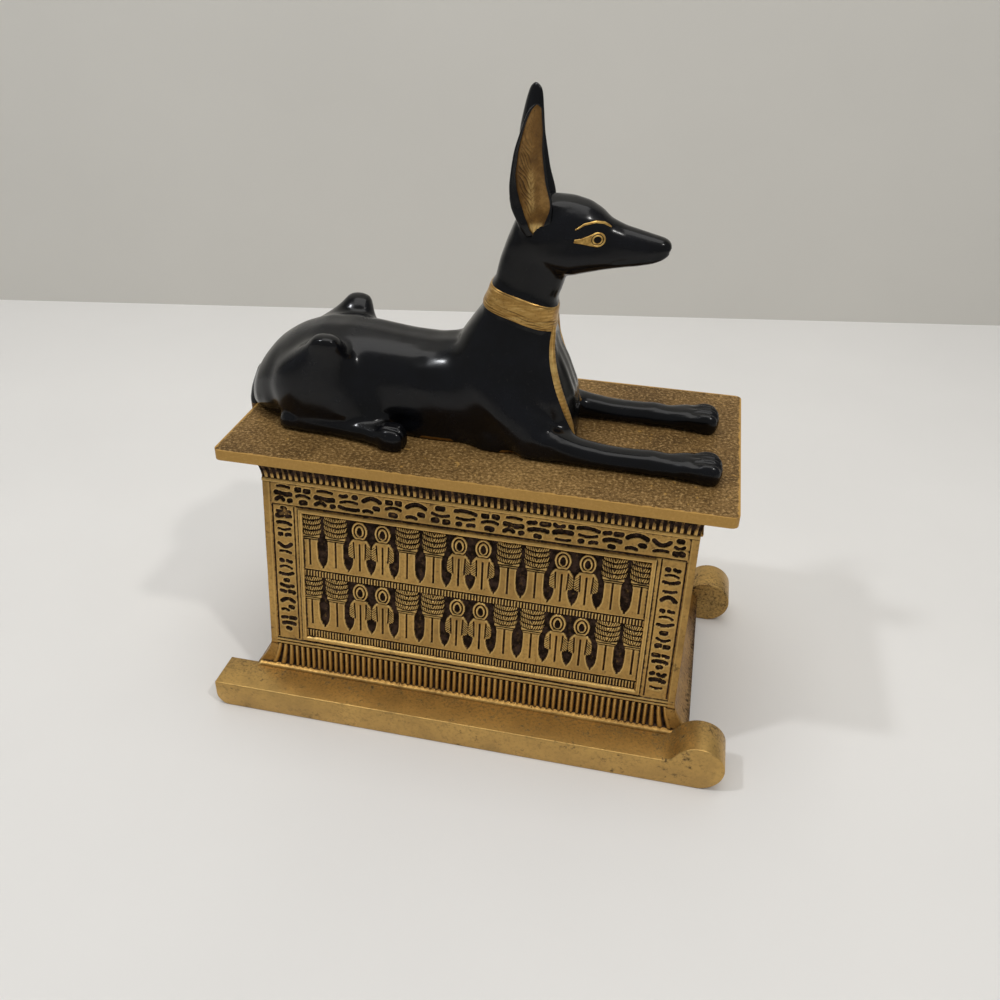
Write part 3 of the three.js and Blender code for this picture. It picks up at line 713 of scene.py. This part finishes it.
def ribbon_piece(tree, side, material):
    """A gilt ribbon from the neck band to the foreleg's root, notched in its lower half."""
    rows, columns = ((170, 13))
    knots = np.array([(109.9, 5.6, 42), (109.9, 9.1, 36), (111.2, 12.4, 29), (114.1, 13.7, 21),
                      (117.2, 12.9, 13), (119.2, 12.0, 7.5)])
    places = np.linspace(0, 1, len(knots))
    along = np.linspace(0, 1, rows)
    path = np.stack([curve_through(along, places, knots[:, k]) for k in range(3)], 1)
    path[:, 1] *= side
    outward = np.array([0.82, side * 0.5, 0.28])
    across = np.cross(np.gradient(path, axis=0), outward)
    across /= np.linalg.norm(across, axis=1)[:, None]
    t = np.linspace(-1, 1, columns)
    half = 1.25 + 0.3 * step(along, 0.1, 0.6)
    starts = path[:, None] + (half[:, None] * t)[..., None] * across[:, None] + 5 * outward
    notch = step(np.cos(along * 2 * math.pi * 30), 0.45, 1.0) * step(along, 0.3, 0.5)
    cut = notch[:, None] * (0.4 + 0.6 * np.abs(t)) * (np.abs(t) < 0.85)
    lift = 1.1 * (1 - t ** 4) - 0.35 - 0.15 * cut
    faces = grid_faces(rows, columns)
    if side > 0:
        faces = [face[::-1] for face in faces]
    points = laid_on(tree, starts.reshape(-1, 3), [-outward] * (rows * columns), lift.ravel())
    return dressed(new_object(sided("ribbon", side), points, faces), material, ink=cut * 0.6)


# Eyes and brows
def eye_paint():
    n = Nodes("eye_paint")
    gold = n.ramp(n.noise(700, 3, 0.6), (0.35, GOLD), (0.65, (0.72, 0.46, 0.13)))
    pupil = n.grey(n.attribute("pupil"), 0.35, 0.65)
    return n.finish(n.mix(pupil, gold, (0.006, 0.004, 0.003)), n.grey(pupil, 0, 1, 0.36, 0.25),
                    n.grey(pupil, 0, 1, 0.7, 0.0), n.grey(pupil, 0, 1, 0.5, 0.15),
                    n.bump(n.noise(1600, 2, 0.5), 0.2, 0.00008))


# The eye's place on the head, and its gilt tail and brow about that place, in X and Z
TAIL_OF_EYE = [(-0.5, 2.2), (-2.6, 1.3), (-4.6, 0.5), (-6.9, 0.1), (-7.1, -1.0), (-4.4, -1.4),
               (-2.2, -1.9), (-0.5, -2.2)]
EYE_X, EYE_Z = 120.6, 72.0
BROW = [(-6.8, 2.9), (-4.2, 4.5), (-0.9, 5.2), (1.5, 4.75), (3.6, 3.5)]


def eye_piece(tree, side, material):
    """A patch that lies on the head and rises out of it where the gilt eye and brow are."""
    pitch = 0.16
    xs = np.arange(-9, 5.5, pitch)
    zs = np.arange(-4.5, 6.6, pitch)
    grid = np.stack(np.meshgrid(xs, zs), -1).reshape(-1, 2)
    radius = np.hypot(grid[:, 0], grid[:, 1] * 1.12)
    brow, along = path_distance(grid, BROW)
    brow = 0.42 * np.sin(math.pi * np.clip(along * 0.8 + 0.1, 0, 1)) ** 0.5 - brow
    disc = 2.5 - radius
    gilt = np.max([disc, polygon_distance(grid, TAIL_OF_EYE), brow], 0)
    rim = 0.12 * groove(radius - 2.15, 0.35)
    moat = 0.14 * groove(radius - 1.7, 0.22)
    ball = 0.12 * np.clip(1.5 - radius, 0, 1)
    lift = 0.42 * step(gilt, -0.12, 0.22) - 0.25 + (rim - moat + ball) * (disc > 0)
    ring = 0.8 * groove(radius - 1.75, 0.2)
    pupil = np.maximum(step(1.15 - radius, -0.1, 0.1), ring) * (disc > 0)
    starts = np.insert(grid + (EYE_X, EYE_Z), 1, side * 20, axis=1)
    outward = Vector((0, side, 0))
    points = []
    for start, height in zip(from_local(starts), lift):
        hit, normal, _, _ = tree.ray_cast(Vector(start), -outward)
        if hit is None:
            hit, normal = Vector(start) - outward * (16 * MM), outward
        points.append(hit + normal * (height * MM))
    faces = [face if side < 0 else face[::-1] for face in grid_faces(len(zs), len(xs))
             if max(gilt[list(face)]) > -0.45]
    obj = dressed(new_object(sided("eye", side), points, faces), material, pupil=pupil)
    return edited(obj, drop_loose)


# The slab
def slab_piece():
    return dressed(bevelled(copy_of("lid_slab", "lid_slab_gilt"), 0.45, 2, 40), slab_gold())


# The chest's relief
def half_width(z):
    rise = (z - FOOT_TOP) / (CAVETTO_BOTTOM - FOOT_TOP)
    lower = HALF_FOOT + (HALF_TOP - HALF_FOOT) * rise
    upper = HALF_TOP + CAVETTO_FLARE * np.clip((z - CAVETTO_BOTTOM) / CAVETTO_HEIGHT, 0, 1) ** 2
    return np.where(z < CAVETTO_BOTTOM, lower, upper)


def half_length(z):
    foot = FOOT_FLARE * np.clip((FOOT_TOP - z) / 12.0, 0, 1) ** 1.6
    top = CAVETTO_FLARE * np.clip((z - CAVETTO_BOTTOM) / CAVETTO_HEIGHT, 0, 1) ** 2
    return END_HALF + foot + top


def bar_of(x, z, half, bottom, top, soft=0.3):
    """1 inside a rectangle about the middle, falling to 0 over a soft edge."""
    inside = np.minimum(half - np.abs(x), np.minimum(z - bottom, top - z))
    return step(inside, -soft / 2, soft / 2)


def stroke(x, z, x0, z0, x1, z1, width):
    run = np.array([x1 - x0, z1 - z0])
    t = np.clip(((x - x0) * run[0] + (z - z0) * run[1]) / max(run @ run, 1e-9), 0, 1)
    distance = np.hypot(x - x0 - t * run[0], z - z0 - t * run[1])
    return step(width / 2 - distance, -0.14, 0.14)


def pillar_height(u, v):
    """A column on a spread foot, under a head of four hatched tiers with upturned ends, 21 high."""
    a = np.abs(u)
    ground = np.interp(v, [0.6, 1.4, 3.0, 5.5, 10, 11.6, 12.5], [0, 0.7, 1.35, 1.65, 1.7, 1.45, 0.8])
    tier = (v - 12.7 - 0.06 * a ** 2) / 2.05
    part = tier - np.floor(tier)
    head = tier > 0
    half = np.where(head, 4.0 + 0.65 * part, 4.7 - ground)
    body = step(half - a, -0.12, 0.2)
    middle = groove(u, 0.3) * (v > 0.8) * (v < 11.2) * 0.8
    rings = groove(v - 11.4, 0.2) + groove(v - 12.2, 0.2)
    gaps = groove(part, 0.17) + groove(part - 1, 0.17)
    fan = np.sign(u) * (a - 0.9 * part) + 0.4 * np.floor(tier)
    hatch = step(np.cos(fan * 2 * math.pi / 0.85), -0.1, 0.9) * 0.6
    cuts = np.where(head, gaps * 0.95 + hatch * step(part, 0.1, 0.3), middle + rings * 0.7)
    return body * (1 - np.clip(cuts, 0, 0.97)) * (v > 0) * (v < FIGURE_HEIGHT)


def knot_height(u, v):
    """A looped knot: a double ring with a long eye, hanging ends and a grooved skirt, 21 high."""
    a = np.abs(u)
    ring = np.hypot(u / 3.0, (v - 17.2) / 3.7)
    eye = np.hypot(u / (0.95 - 0.12 * (v - 17)), (v - 17.0) / 1.7)
    loop = step(1 - ring, -0.03, 0.06) * step(eye - 1, -0.12, 0.15)
    second = np.hypot(u / 1.95, (v - 17.1) / 2.65)
    loop *= 1 - 0.85 * groove(second - 1, 0.13)
    half = np.interp(v, [0, 0.6, 1.6, 3.2, 5.2, 5.9, 6.4, 7.4, 10, 12, 13.4, 14.4],
                     [4.4, 4.1, 3.4, 2.85, 2.5, 2.7, 4.0, 4.4, 4.35, 3.9, 2.9, 1.6])
    cloak = step(half - a, -0.12, 0.2) * (v < 14.6)
    middle = groove(u, 0.3) * step(v, 0.8, 1.4) * (1 - step(v, 11.5, 12.5)) * 0.85
    arm = groove(a - 2.05 - 0.04 * (v - 6), 0.24) * step(v, 5.6, 6.4) * (1 - step(v, 12, 13)) * 0.8
    feather = step(np.cos((v + 0.9 * a) * 2 * math.pi / 0.95), 0.1, 1.0) * (a > 2.4) * 0.45
    feather = feather * step(v, 5.6, 6.2) * (1 - step(v, 11, 12.5))
    tie = groove(v - 13.9, 0.2) * (a < 2.2) * 0.6
    cloak *= 1 - np.clip(middle + arm + feather + tie, 0, 0.95)
    return np.maximum(loop * (v > 13.9), cloak)


def figure_places():
    places, x = [], 0.0
    for pillar in (True, False, True, False, True, False, True):
        places.append((x, pillar))
        x += 9.9 if pillar else 8.7
        places.append((x, pillar))
        x += 9.25
    middle = (x - 9.25) / 2
    return [(place - middle, pillar) for place, pillar in places]


# Bold marks that stand in for an inscription, each in a square of side 1. A mark is a list of
# (x, z, x, z, bend, width), where bend lifts the middle of the stroke.
MARKS = [
    [(0.08, 0.84, 0.92, 0.78, 0.07, 1.1), (0.14, 0.5, 0.86, 0.54, -0.07, 0.8),
     (0.2, 0.18, 0.26, 0.19, 0, 1.5), (0.6, 0.16, 0.86, 0.2, 0.03, 1.1)],
    [(0.1, 0.72, 0.9, 0.7, 0.16, 1.3), (0.2, 0.36, 0.34, 0.38, 0, 1.5),
     (0.5, 0.14, 0.9, 0.16, 0.05, 1.0)],
    [(0.1, 0.74, 0.9, 0.72, -0.2, 1.2), (0.16, 0.2, 0.84, 0.24, 0.05, 0.9)],
    [(0.18, 0.8, 0.3, 0.82, 0, 1.7), (0.66, 0.78, 0.8, 0.8, 0, 1.7),
     (0.14, 0.46, 0.86, 0.44, 0.09, 0.9), (0.4, 0.14, 0.62, 0.16, 0, 1.6)],
    [(0.1, 0.84, 0.5, 0.82, -0.1, 1.2), (0.82, 0.84, 0.9, 0.82, 0, 1.4),
     (0.12, 0.46, 0.88, 0.5, 0.04, 1.5), (0.2, 0.12, 0.84, 0.14, -0.04, 0.8)],
    [(0.08, 0.8, 0.36, 0.78, 0, 1.5), (0.64, 0.8, 0.92, 0.76, 0, 1.2),
     (0.12, 0.42, 0.88, 0.4, 0.06, 1.3), (0.44, 0.1, 0.58, 0.12, 0, 1.5)],
]


def strokes_of(seed, left, right, bottom, top, upright):
    """A row of such marks, turned over at random, as strokes (x, z, x, z, width)."""
    rng = np.random.default_rng(seed)
    out = []
    along, end = (bottom, top) if upright else (left, right)
    across = right - left if upright else top - bottom
    last = -1
    while along < end - 3:
        length = min(rng.uniform(0.9, 1.15) * 7.4, end - along)
        kind = int(rng.integers(0, len(MARKS)))
        if kind == last:
            kind = (kind + 1) % len(MARKS)
        last = kind
        over_x, over_z = rng.integers(0, 2, 2)
        for x0, z0, x1, z1, bend, width in MARKS[kind]:
            t = np.linspace(0, 1, 6 if bend else 2)
            x = x0 + (x1 - x0) * t
            z = z0 + (z1 - z0) * t + bend * 4 * t * (1 - t)
            x, z = 1 - x if over_x else x, 1 - z if over_z else z
            if upright:
                path = np.stack([left + x * across, along + z * length], 1)
            else:
                path = np.stack([along + x * length, bottom + z * across], 1)
            out += [(*a, *b, width * 1.3) for a, b in zip(path[:-1], path[1:])]
        along += length + 0.7
    return out


def soft_noise(shape, pitch, size, seed):
    """Smooth random lumps of about that size, from -1 to 1, on a grid of that pitch."""
    counts = [max(int(length * pitch / size), 2) + 2 for length in shape]
    field = np.random.default_rng(seed).uniform(-1, 1, counts)
    for axis in (0, 1):
        place = np.linspace(0, counts[axis] - 1.001, shape[axis])
        cell = place.astype(int)
        t = step(place - cell, 0, 1)
        t = t if axis else t[:, None]
        field = np.take(field, cell, axis) * (1 - t) + np.take(field, cell + 1, axis) * t
    return field


def window(x, z, left, right, bottom, top):
    """The rows and columns of a grid of places x, z that lie in a rectangle."""
    return np.ix_((z[:, 0] > bottom) & (z[:, 0] < top), (x[0] > left) & (x[0] < right))


def raise_to(h, form):
    """The higher of the two where the form is, and h as it was elsewhere."""
    return np.where(form > 0.01, np.maximum(h, form), h)


def panel_height(x, z, lumps):
    """The sunk panel: two rows of figures on their ground lines, each over a ladder line."""
    raised = 0.07 * lumps
    for foot, ground_bottom, ladder_bottom, ladder_top in ROWS:
        for centre, pillar in figure_places():
            part = window(x, z, centre - 5.2, centre + 5.2, foot - 0.2,
                          foot + FIGURE_HEIGHT + 0.2)
            figure = pillar_height if pillar else knot_height
            raised[part] = np.maximum(raised[part], figure(x[part] - centre, z[part] - foot))
        ground = bar_of(x, z, PANEL_HALF, ground_bottom, foot + 0.05)
        ladder = bar_of(x, z, PANEL_HALF, ladder_bottom, ladder_top, 0.25)
        ticks = step(np.cos(x * 2 * math.pi / LADDER_PITCH), -0.5, 0.6)
        raised = np.max([raised, ground, ladder * (0.4 + 0.5 * ticks)], 0)
    return raised - RELIEF_DEPTH


def relief_height(x, z):
    """The long side's height over its plane, in mm, on a grid of places x, z."""
    pitch = x[0, 1] - x[0, 0]
    lumps = soft_noise(x.shape, pitch, 2.2, 3) * 0.5 + soft_noise(x.shape, pitch, 0.8, 4) * 0.5
    panel = bar_of(x, z, PANEL_HALF, PANEL_BOTTOM, PANEL_TOP, 0.4)
    framed = bar_of(x, z, PANEL_HALF + FRAME_WIDTH, PANEL_BOTTOM - FRAME_WIDTH,
                    PANEL_TOP + FRAME_WIDTH)
    h = panel_height(x, z, lumps) * panel + 0.6 * framed * (1 - panel)
    # inscription strokes above the panel and down both sides
    for seed, *strip, upright in INSCRIPTION:
        for x0, z0, x1, z1, width in strokes_of(seed, *strip, upright):
            part = window(x, z, min(x0, x1) - 1, max(x0, x1) + 1, min(z0, z1) - 1, max(z0, z1) + 1)
            cut = stroke(x[part], z[part], x0, z0, x1, z1, width)
            h[part] = np.minimum(h[part], 0.05 - 0.7 * cut)
    for place in (STRIP_OUTER, STRIP_INNER):
        h -= 0.45 * groove(np.abs(x) - place, 0.28) * (z > 25) * (z < 80.6)
    h -= 0.4 * groove(z - 81.0, 0.25) * (np.abs(x) < STRIP_OUTER)
    # corner strips and a double line
    corner = step(np.abs(x) - (END_HALF - 2.5), -0.15, 0.15)
    h = raise_to(h, 0.4 * corner * within(z, 21.4, 21.8, 89.6, 90.0))
    for bottom in (22.0, 23.3):
        h = raise_to(h, 0.5 * step(0.45 - np.abs(z - bottom - 0.45), -0.15, 0.2))
    # flutes over a torus
    place = (np.mod(x / FLUTE_PITCH, 1) - 0.5) * FLUTE_PITCH
    reed = 0.1 - 0.25 * np.cos(place * 2 * math.pi / FLUTE_PITCH) - 0.8 * groove(place, 0.5)
    fluted = bar_of(x, z, FLUTE_HALF, FLUTE_BOTTOM, FLUTE_TOP, 0.35)
    h = h * (1 - fluted) + fluted * reed
    torus = 1.2 * np.clip(1.3 ** 2 - (z - RUNNER_HEIGHT) ** 2, 0, None) ** 0.5
    h = raise_to(h, torus * (np.abs(x) < END_HALF))
    # ledge and notches under the slab
    h = raise_to(h, 0.85 * bar_of(x, z, 99, LEDGE_BOTTOM, CAVETTO_BOTTOM, 0.25))
    notch = step(np.cos(x * 2 * math.pi / NOTCH_PITCH), -0.45, 0.35)
    h += 0.675 * notch * bar_of(x, z, 99, CAVETTO_BOTTOM + 0.1, NOTCH_TOP)
    rough = soft_noise(x.shape, pitch, 1.3, 5) * 0.05 + soft_noise(x.shape, pitch, 5.0, 6) * 0.06
    return h + rough * (1 - panel * 0.5)


def blurred(field, cells):
    for axis in (0, 1):
        kernel = np.exp(-np.linspace(-2, 2, 2 * cells + 1) ** 2)
        kernel /= kernel.sum()
        padded = np.pad(field, [(cells, cells) if k == axis else (0, 0) for k in (0, 1)],
                        mode="edge")
        field = np.apply_along_axis(lambda line: np.convolve(line, kernel, "valid"), axis, padded)
    return field


def row_heights(pitch):
    """Heights of the skin's rows: close together over the figures, wider apart elsewhere."""
    out = [RUNNER_HEIGHT - 0.6]
    while out[-1] < CHEST_TOP - pitch:
        fine = PANEL_BOTTOM - 5 < out[-1] < LEDGE_BOTTOM + 2
        out.append(out[-1] + pitch * (1.0 if fine or out[-1] < 12.6 else 1.5))
    return np.array(out[:-1] + [CHEST_TOP])


def relief_piece(name, side, left, right, pitch, material):
    """A stretch of a long side, from x left to right, as one fine skin with its edges turned in."""
    columns = int(round((right - left) / pitch)) + 1
    x, z = np.meshgrid(np.linspace(left, right, columns), row_heights(pitch))
    h = relief_height(x, z)
    close = blurred(h, max(int(round(0.9 / pitch)), 1)) - h
    wide = blurred(h, max(int(round(2.0 / pitch)), 2)) - h
    deep = np.clip((-0.4 - h) / 0.4, 0, 1)
    wash = close * 3.0 + wide * 1.1 + deep * 0.55 + 0.02
    wash = wash * (1 - 0.8 * step(12.6 - z, -0.2, 0.4))
    # painted shade on the band under the slab's overhang, darkest where it lies low between the
    # notches
    under = step(z, 91.4, 95.0)
    wash = np.clip(np.maximum(wash, under * np.clip(1.15 - h, 0, 1)), 0, 1)
    raised_gold = 0.34 * step(h, -0.45, -0.1) * step(z, 12.2, 13)
    rub = np.clip(np.clip(-close * 3.2 - 0.1, 0, 1) + raised_gold, 0, 1) * (1 - under)
    flare = (half_length(z) - END_HALF) * np.clip(np.abs(x) / END_HALF * 8 - 7, 0, 1) ** 1.5
    points = np.stack([x + np.sign(x) * flare - SHIFT_X * side, -(half_width(z) + h), z], -1)
    points = points.reshape(-1, 3)
    count = len(points)
    index = np.arange(count).reshape(x.shape)
    faces = grid_faces(*x.shape)
    loop = [*index[0], *index[1:, -1], *index[-1, -2::-1], *index[-2:0:-1, 0]]
    points = np.vstack([points, points[loop] + np.array([0, 2.6, 0])])
    number = len(loop)
    for k in range(number):
        following = (k + 1) % number
        faces.append((loop[following], loop[k], count + k, count + following))
    if side > 0:
        points[:, :2] *= -1
    return dressed(new_object(name, points * MM, faces), material,
                   wash=np.append(wash, wash.ravel()[loop]), rub=np.append(rub, np.zeros(number)))


# The chest's body and sledge
def chest_body(material):
    """Ends, rim, hollow and floor. The long sides are set in, behind the relief skins."""
    def ring(z):
        return z, half_length(z), half_width(z) - 2.2

    ledge = (END_HALF + 0.9, HALF_TOP - 1.2)
    inner = (END_HALF - WALL, HALF_TOP - WALL)
    heights = [CHEST_RECESS, *np.linspace(RUNNER_HEIGHT - 2, FOOT_TOP, 12), LEDGE_BOTTOM - 0.01]
    rings = [ring(z) for z in heights]
    rings += [(LEDGE_BOTTOM, *ledge), (CAVETTO_BOTTOM, *ledge)]
    rings += [ring(z) for z in np.linspace(CAVETTO_BOTTOM + 0.01, CHEST_TOP, 9)]
    rings += [(CHEST_TOP, *inner), (CHEST_RECESS + CHEST_FLOOR, *inner)]
    points = [(a * length + SHIFT_X, b * width, z) for z, length, width in rings
              for a, b in ((-1, -1), (1, -1), (1, 1), (-1, 1))]
    faces = grid_faces(len(rings), 4, closed=True)
    last = len(points) - 4
    faces += [(3, 2, 1, 0), (last, last + 1, last + 2, last + 3)]
    obj = new_object("chest_body", np.array(points) * MM, faces, smooth=False)
    z = vertex_data(bevelled(obj, 0.35, 2, 50).data, "co")[:, 2] / MM
    # darker toward the foot, and painted shade on the cavetto under the slab's overhang
    foot, under = 1 - step(z, 11, 15), step(z, 92, 99)
    return dressed(obj, material, wash=np.clip(0.08 + 0.35 * foot + 0.6 * under, 0, 1),
                   rub=np.zeros(len(z)))


def arc(x, z, radius, start, end, steps):
    angles = np.linspace(start, end, steps + 1)
    return [(x + radius * math.cos(a), z + radius * math.sin(a)) for a in angles]


def runner_piece(side, material):
    roll_x = RUNNER_FRONT - ROLL_RADIUS
    fillet_z = RUNNER_HEIGHT + FILLET_RADIUS
    reach = ROLL_RADIUS + FILLET_RADIUS
    fillet_x = roll_x - math.sqrt(reach ** 2 - (fillet_z - ROLL_RADIUS) ** 2)
    meet = math.atan2(ROLL_RADIUS - fillet_z, roll_x - fillet_x)
    quarter = math.pi / 2
    profile = arc(roll_x, ROLL_RADIUS, ROLL_RADIUS, -quarter, math.pi + meet, 40)
    profile += arc(fillet_x, fillet_z, FILLET_RADIUS, meet, -quarter, 12)[1:]
    profile += [(x, RUNNER_HEIGHT) for x in np.linspace(fillet_x, RUNNER_REAR, 24)[1:]]
    profile += arc(RUNNER_REAR + REAR_RADIUS, REAR_RADIUS, REAR_RADIUS, math.pi, math.pi * 1.5, 10)
    inner = SLEDGE_WIDTH / 2 - RUNNER_WIDTH
    near, far = sorted((side * SLEDGE_WIDTH / 2, side * inner))
    count = len(profile)
    points = [(x + SHIFT_X, y, z) for y in (near, far) for x, z in profile]
    faces = [range(count), range(2 * count - 1, count - 1, -1)]
    faces += [((k + 1) % count, k, count + k, count + (k + 1) % count) for k in range(count)]
    obj = new_object(sided("runner", side), np.array(points) * MM, faces, smooth=False)
    mesh = bevelled(obj, 0.5, 3, 55).data
    mesh.shade_smooth()
    mesh.set_sharp_from_angle(angle=math.radians(35))
    x, y, z = (vertex_data(mesh, "co") / MM).T
    edge = np.minimum(np.abs(y - near), np.abs(y - far))
    # painted shade on the runner's inner face beside the chest and in the crease behind the roll
    beside_chest = np.abs(y) < inner + 1.5
    behind_roll = groove(x - fillet_x - 3, 4.5) * (z > RUNNER_HEIGHT - 0.5)
    return dressed(obj, material, rub=0.5 * (edge < 0.55),
                   wash=0.05 + 0.2 * beside_chest + 0.1 * behind_roll)


# Camera, light, ground
CAMERA_AZIMUTH, CAMERA_ELEVATION, CAMERA_ROLL = 11.45, 32.3, 1.48
CAMERA_TARGET, CAMERA_DISTANCE = (SHIFT_X, 0, 52.8), 373.7
# The target lies off the picture's middle, by so much to the left and down
CAMERA_RIGHT, CAMERA_UP = 3.59, 17.96


def camera():
    azimuth, elevation, roll = (math.radians(v) for v in
                                (CAMERA_AZIMUTH, CAMERA_ELEVATION, CAMERA_ROLL))
    back = np.array([math.sin(azimuth) * math.cos(elevation),
                     -math.cos(azimuth) * math.cos(elevation), math.sin(elevation)])
    level = np.array([math.cos(azimuth), math.sin(azimuth), 0])
    rise = np.cross(back, level)
    right = level * math.cos(roll) + rise * math.sin(roll)
    up = rise * math.cos(roll) - level * math.sin(roll)
    place = CAMERA_TARGET + back * CAMERA_DISTANCE + right * CAMERA_RIGHT + up * CAMERA_UP
    data = bpy.data.cameras.new("camera")
    data.sensor_fit = "HORIZONTAL"
    data.sensor_width = 36
    data.lens = 34.2
    data.clip_start = 0.01
    data.clip_end = 20
    obj = bpy.data.objects.new("camera", data)
    obj.matrix_world = Matrix.Translation(place * MM) @ Matrix((right, up, back)).transposed().to_4x4()
    scene.collection.objects.link(obj)
    scene.camera = obj


def area_light(name, place, size, power, color):
    """A soft light that shines at the middle of the object."""
    data = bpy.data.lights.new(name, "AREA")
    data.shape = "RECTANGLE"
    data.size, data.size_y = size
    data.energy = power
    data.color = color
    obj = bpy.data.objects.new(name, data)
    obj.location = place
    direction = Vector((0, 0, 0.08)) - Vector(place)
    obj.rotation_euler = direction.to_track_quat("-Z", "Y").to_euler()
    scene.collection.objects.link(obj)


def pale(name, color, roughness):
    n = Nodes(name)
    shade = tuple(c * 0.97 for c in color)
    return n.finish(n.ramp(n.noise(9, 3, 0.5), (0.3, shade), (0.7, color)), roughness)


# The middle of the wall's foot, and the room's size, in metres
WALL_FOOT, ROOM = (-0.0741, 0.379), 3


def surroundings():
    """A pale floor and a grey wall square to the camera, and a few soft lights."""
    azimuth = math.radians(CAMERA_AZIMUTH)
    along = np.array([math.cos(azimuth), math.sin(azimuth)])
    away = np.array([-math.sin(azimuth), math.cos(azimuth)])
    left, right = WALL_FOOT - along * ROOM, WALL_FOOT + along * ROOM
    front_left, front_right = left - away * ROOM, right - away * ROOM
    floor = new_object("floor", [(*front_left, 0), (*front_right, 0), (*right, 0), (*left, 0)],
                       [(0, 1, 2, 3)])
    wall = new_object("wall", [(*left, 0), (*right, 0), (*right, ROOM), (*left, ROOM)],
                      [(0, 1, 2, 3)])
    dressed(floor, pale("floor_white", (0.80, 0.785, 0.76), 0.75))
    dressed(wall, pale("wall_grey", (0.67, 0.65, 0.6), 0.9))
    world = bpy.data.worlds.new("studio")
    world.use_nodes = True
    background = world.node_tree.nodes["Background"].inputs
    background["Color"].default_value = (0.95, 0.97, 1.0, 1)
    background["Strength"].default_value = 0.33
    scene.world = world
    area_light("top", (0.0, 0.0, 1.15), (0.9, 0.7), 4.8, (1, 0.985, 0.96))
    area_light("right", (0.5, -0.4, 0.95), (0.06, 0.06), 2.2, (1, 0.98, 0.95))
    area_light("left", (-0.5, -0.3, 0.95), (0.06, 0.06), 2.2, (0.95, 0.97, 1))
    scene.view_settings.view_transform = "Standard"


# Assembly
camera()
surroundings()

paint = jackal_paint()
figure = jackal_piece(paint)
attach(figure, "root")
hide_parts("jackal")
skin = BVHTree.FromObject(figure, bpy.context.evaluated_depsgraph_get())
eye_material = eye_paint()
bright_gold = polished_gold()
worn = [band_piece(skin, bright_gold)]
for one_side in (-1, 1):
    worn.append(ear_piece(one_side, paint))
    worn.append(ribbon_piece(skin, one_side, bright_gold))
    worn.append(eye_piece(skin, one_side, eye_material))
for piece in worn:
    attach(piece, "root")

slab = slab_piece()
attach(slab, "root")
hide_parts("lid_slab")

gold_material = relief_gold()
PITCH = 0.25
chest = [
    chest_body(gold_material),
    runner_piece(-1, gold_material),
    runner_piece(1, gold_material),
    relief_piece("relief_near_rear", -1, -END_HALF, -END_HALF / 3, PITCH, gold_material),
    relief_piece("relief_near_middle", -1, -END_HALF / 3, END_HALF / 3, PITCH, gold_material),
    relief_piece("relief_near_front", -1, END_HALF / 3, END_HALF, PITCH, gold_material),
    relief_piece("relief_far", 1, -END_HALF, END_HALF, max(PITCH, 0.42), gold_material),
]
for piece in chest:
    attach(piece, "root")
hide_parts("shrine_chest")
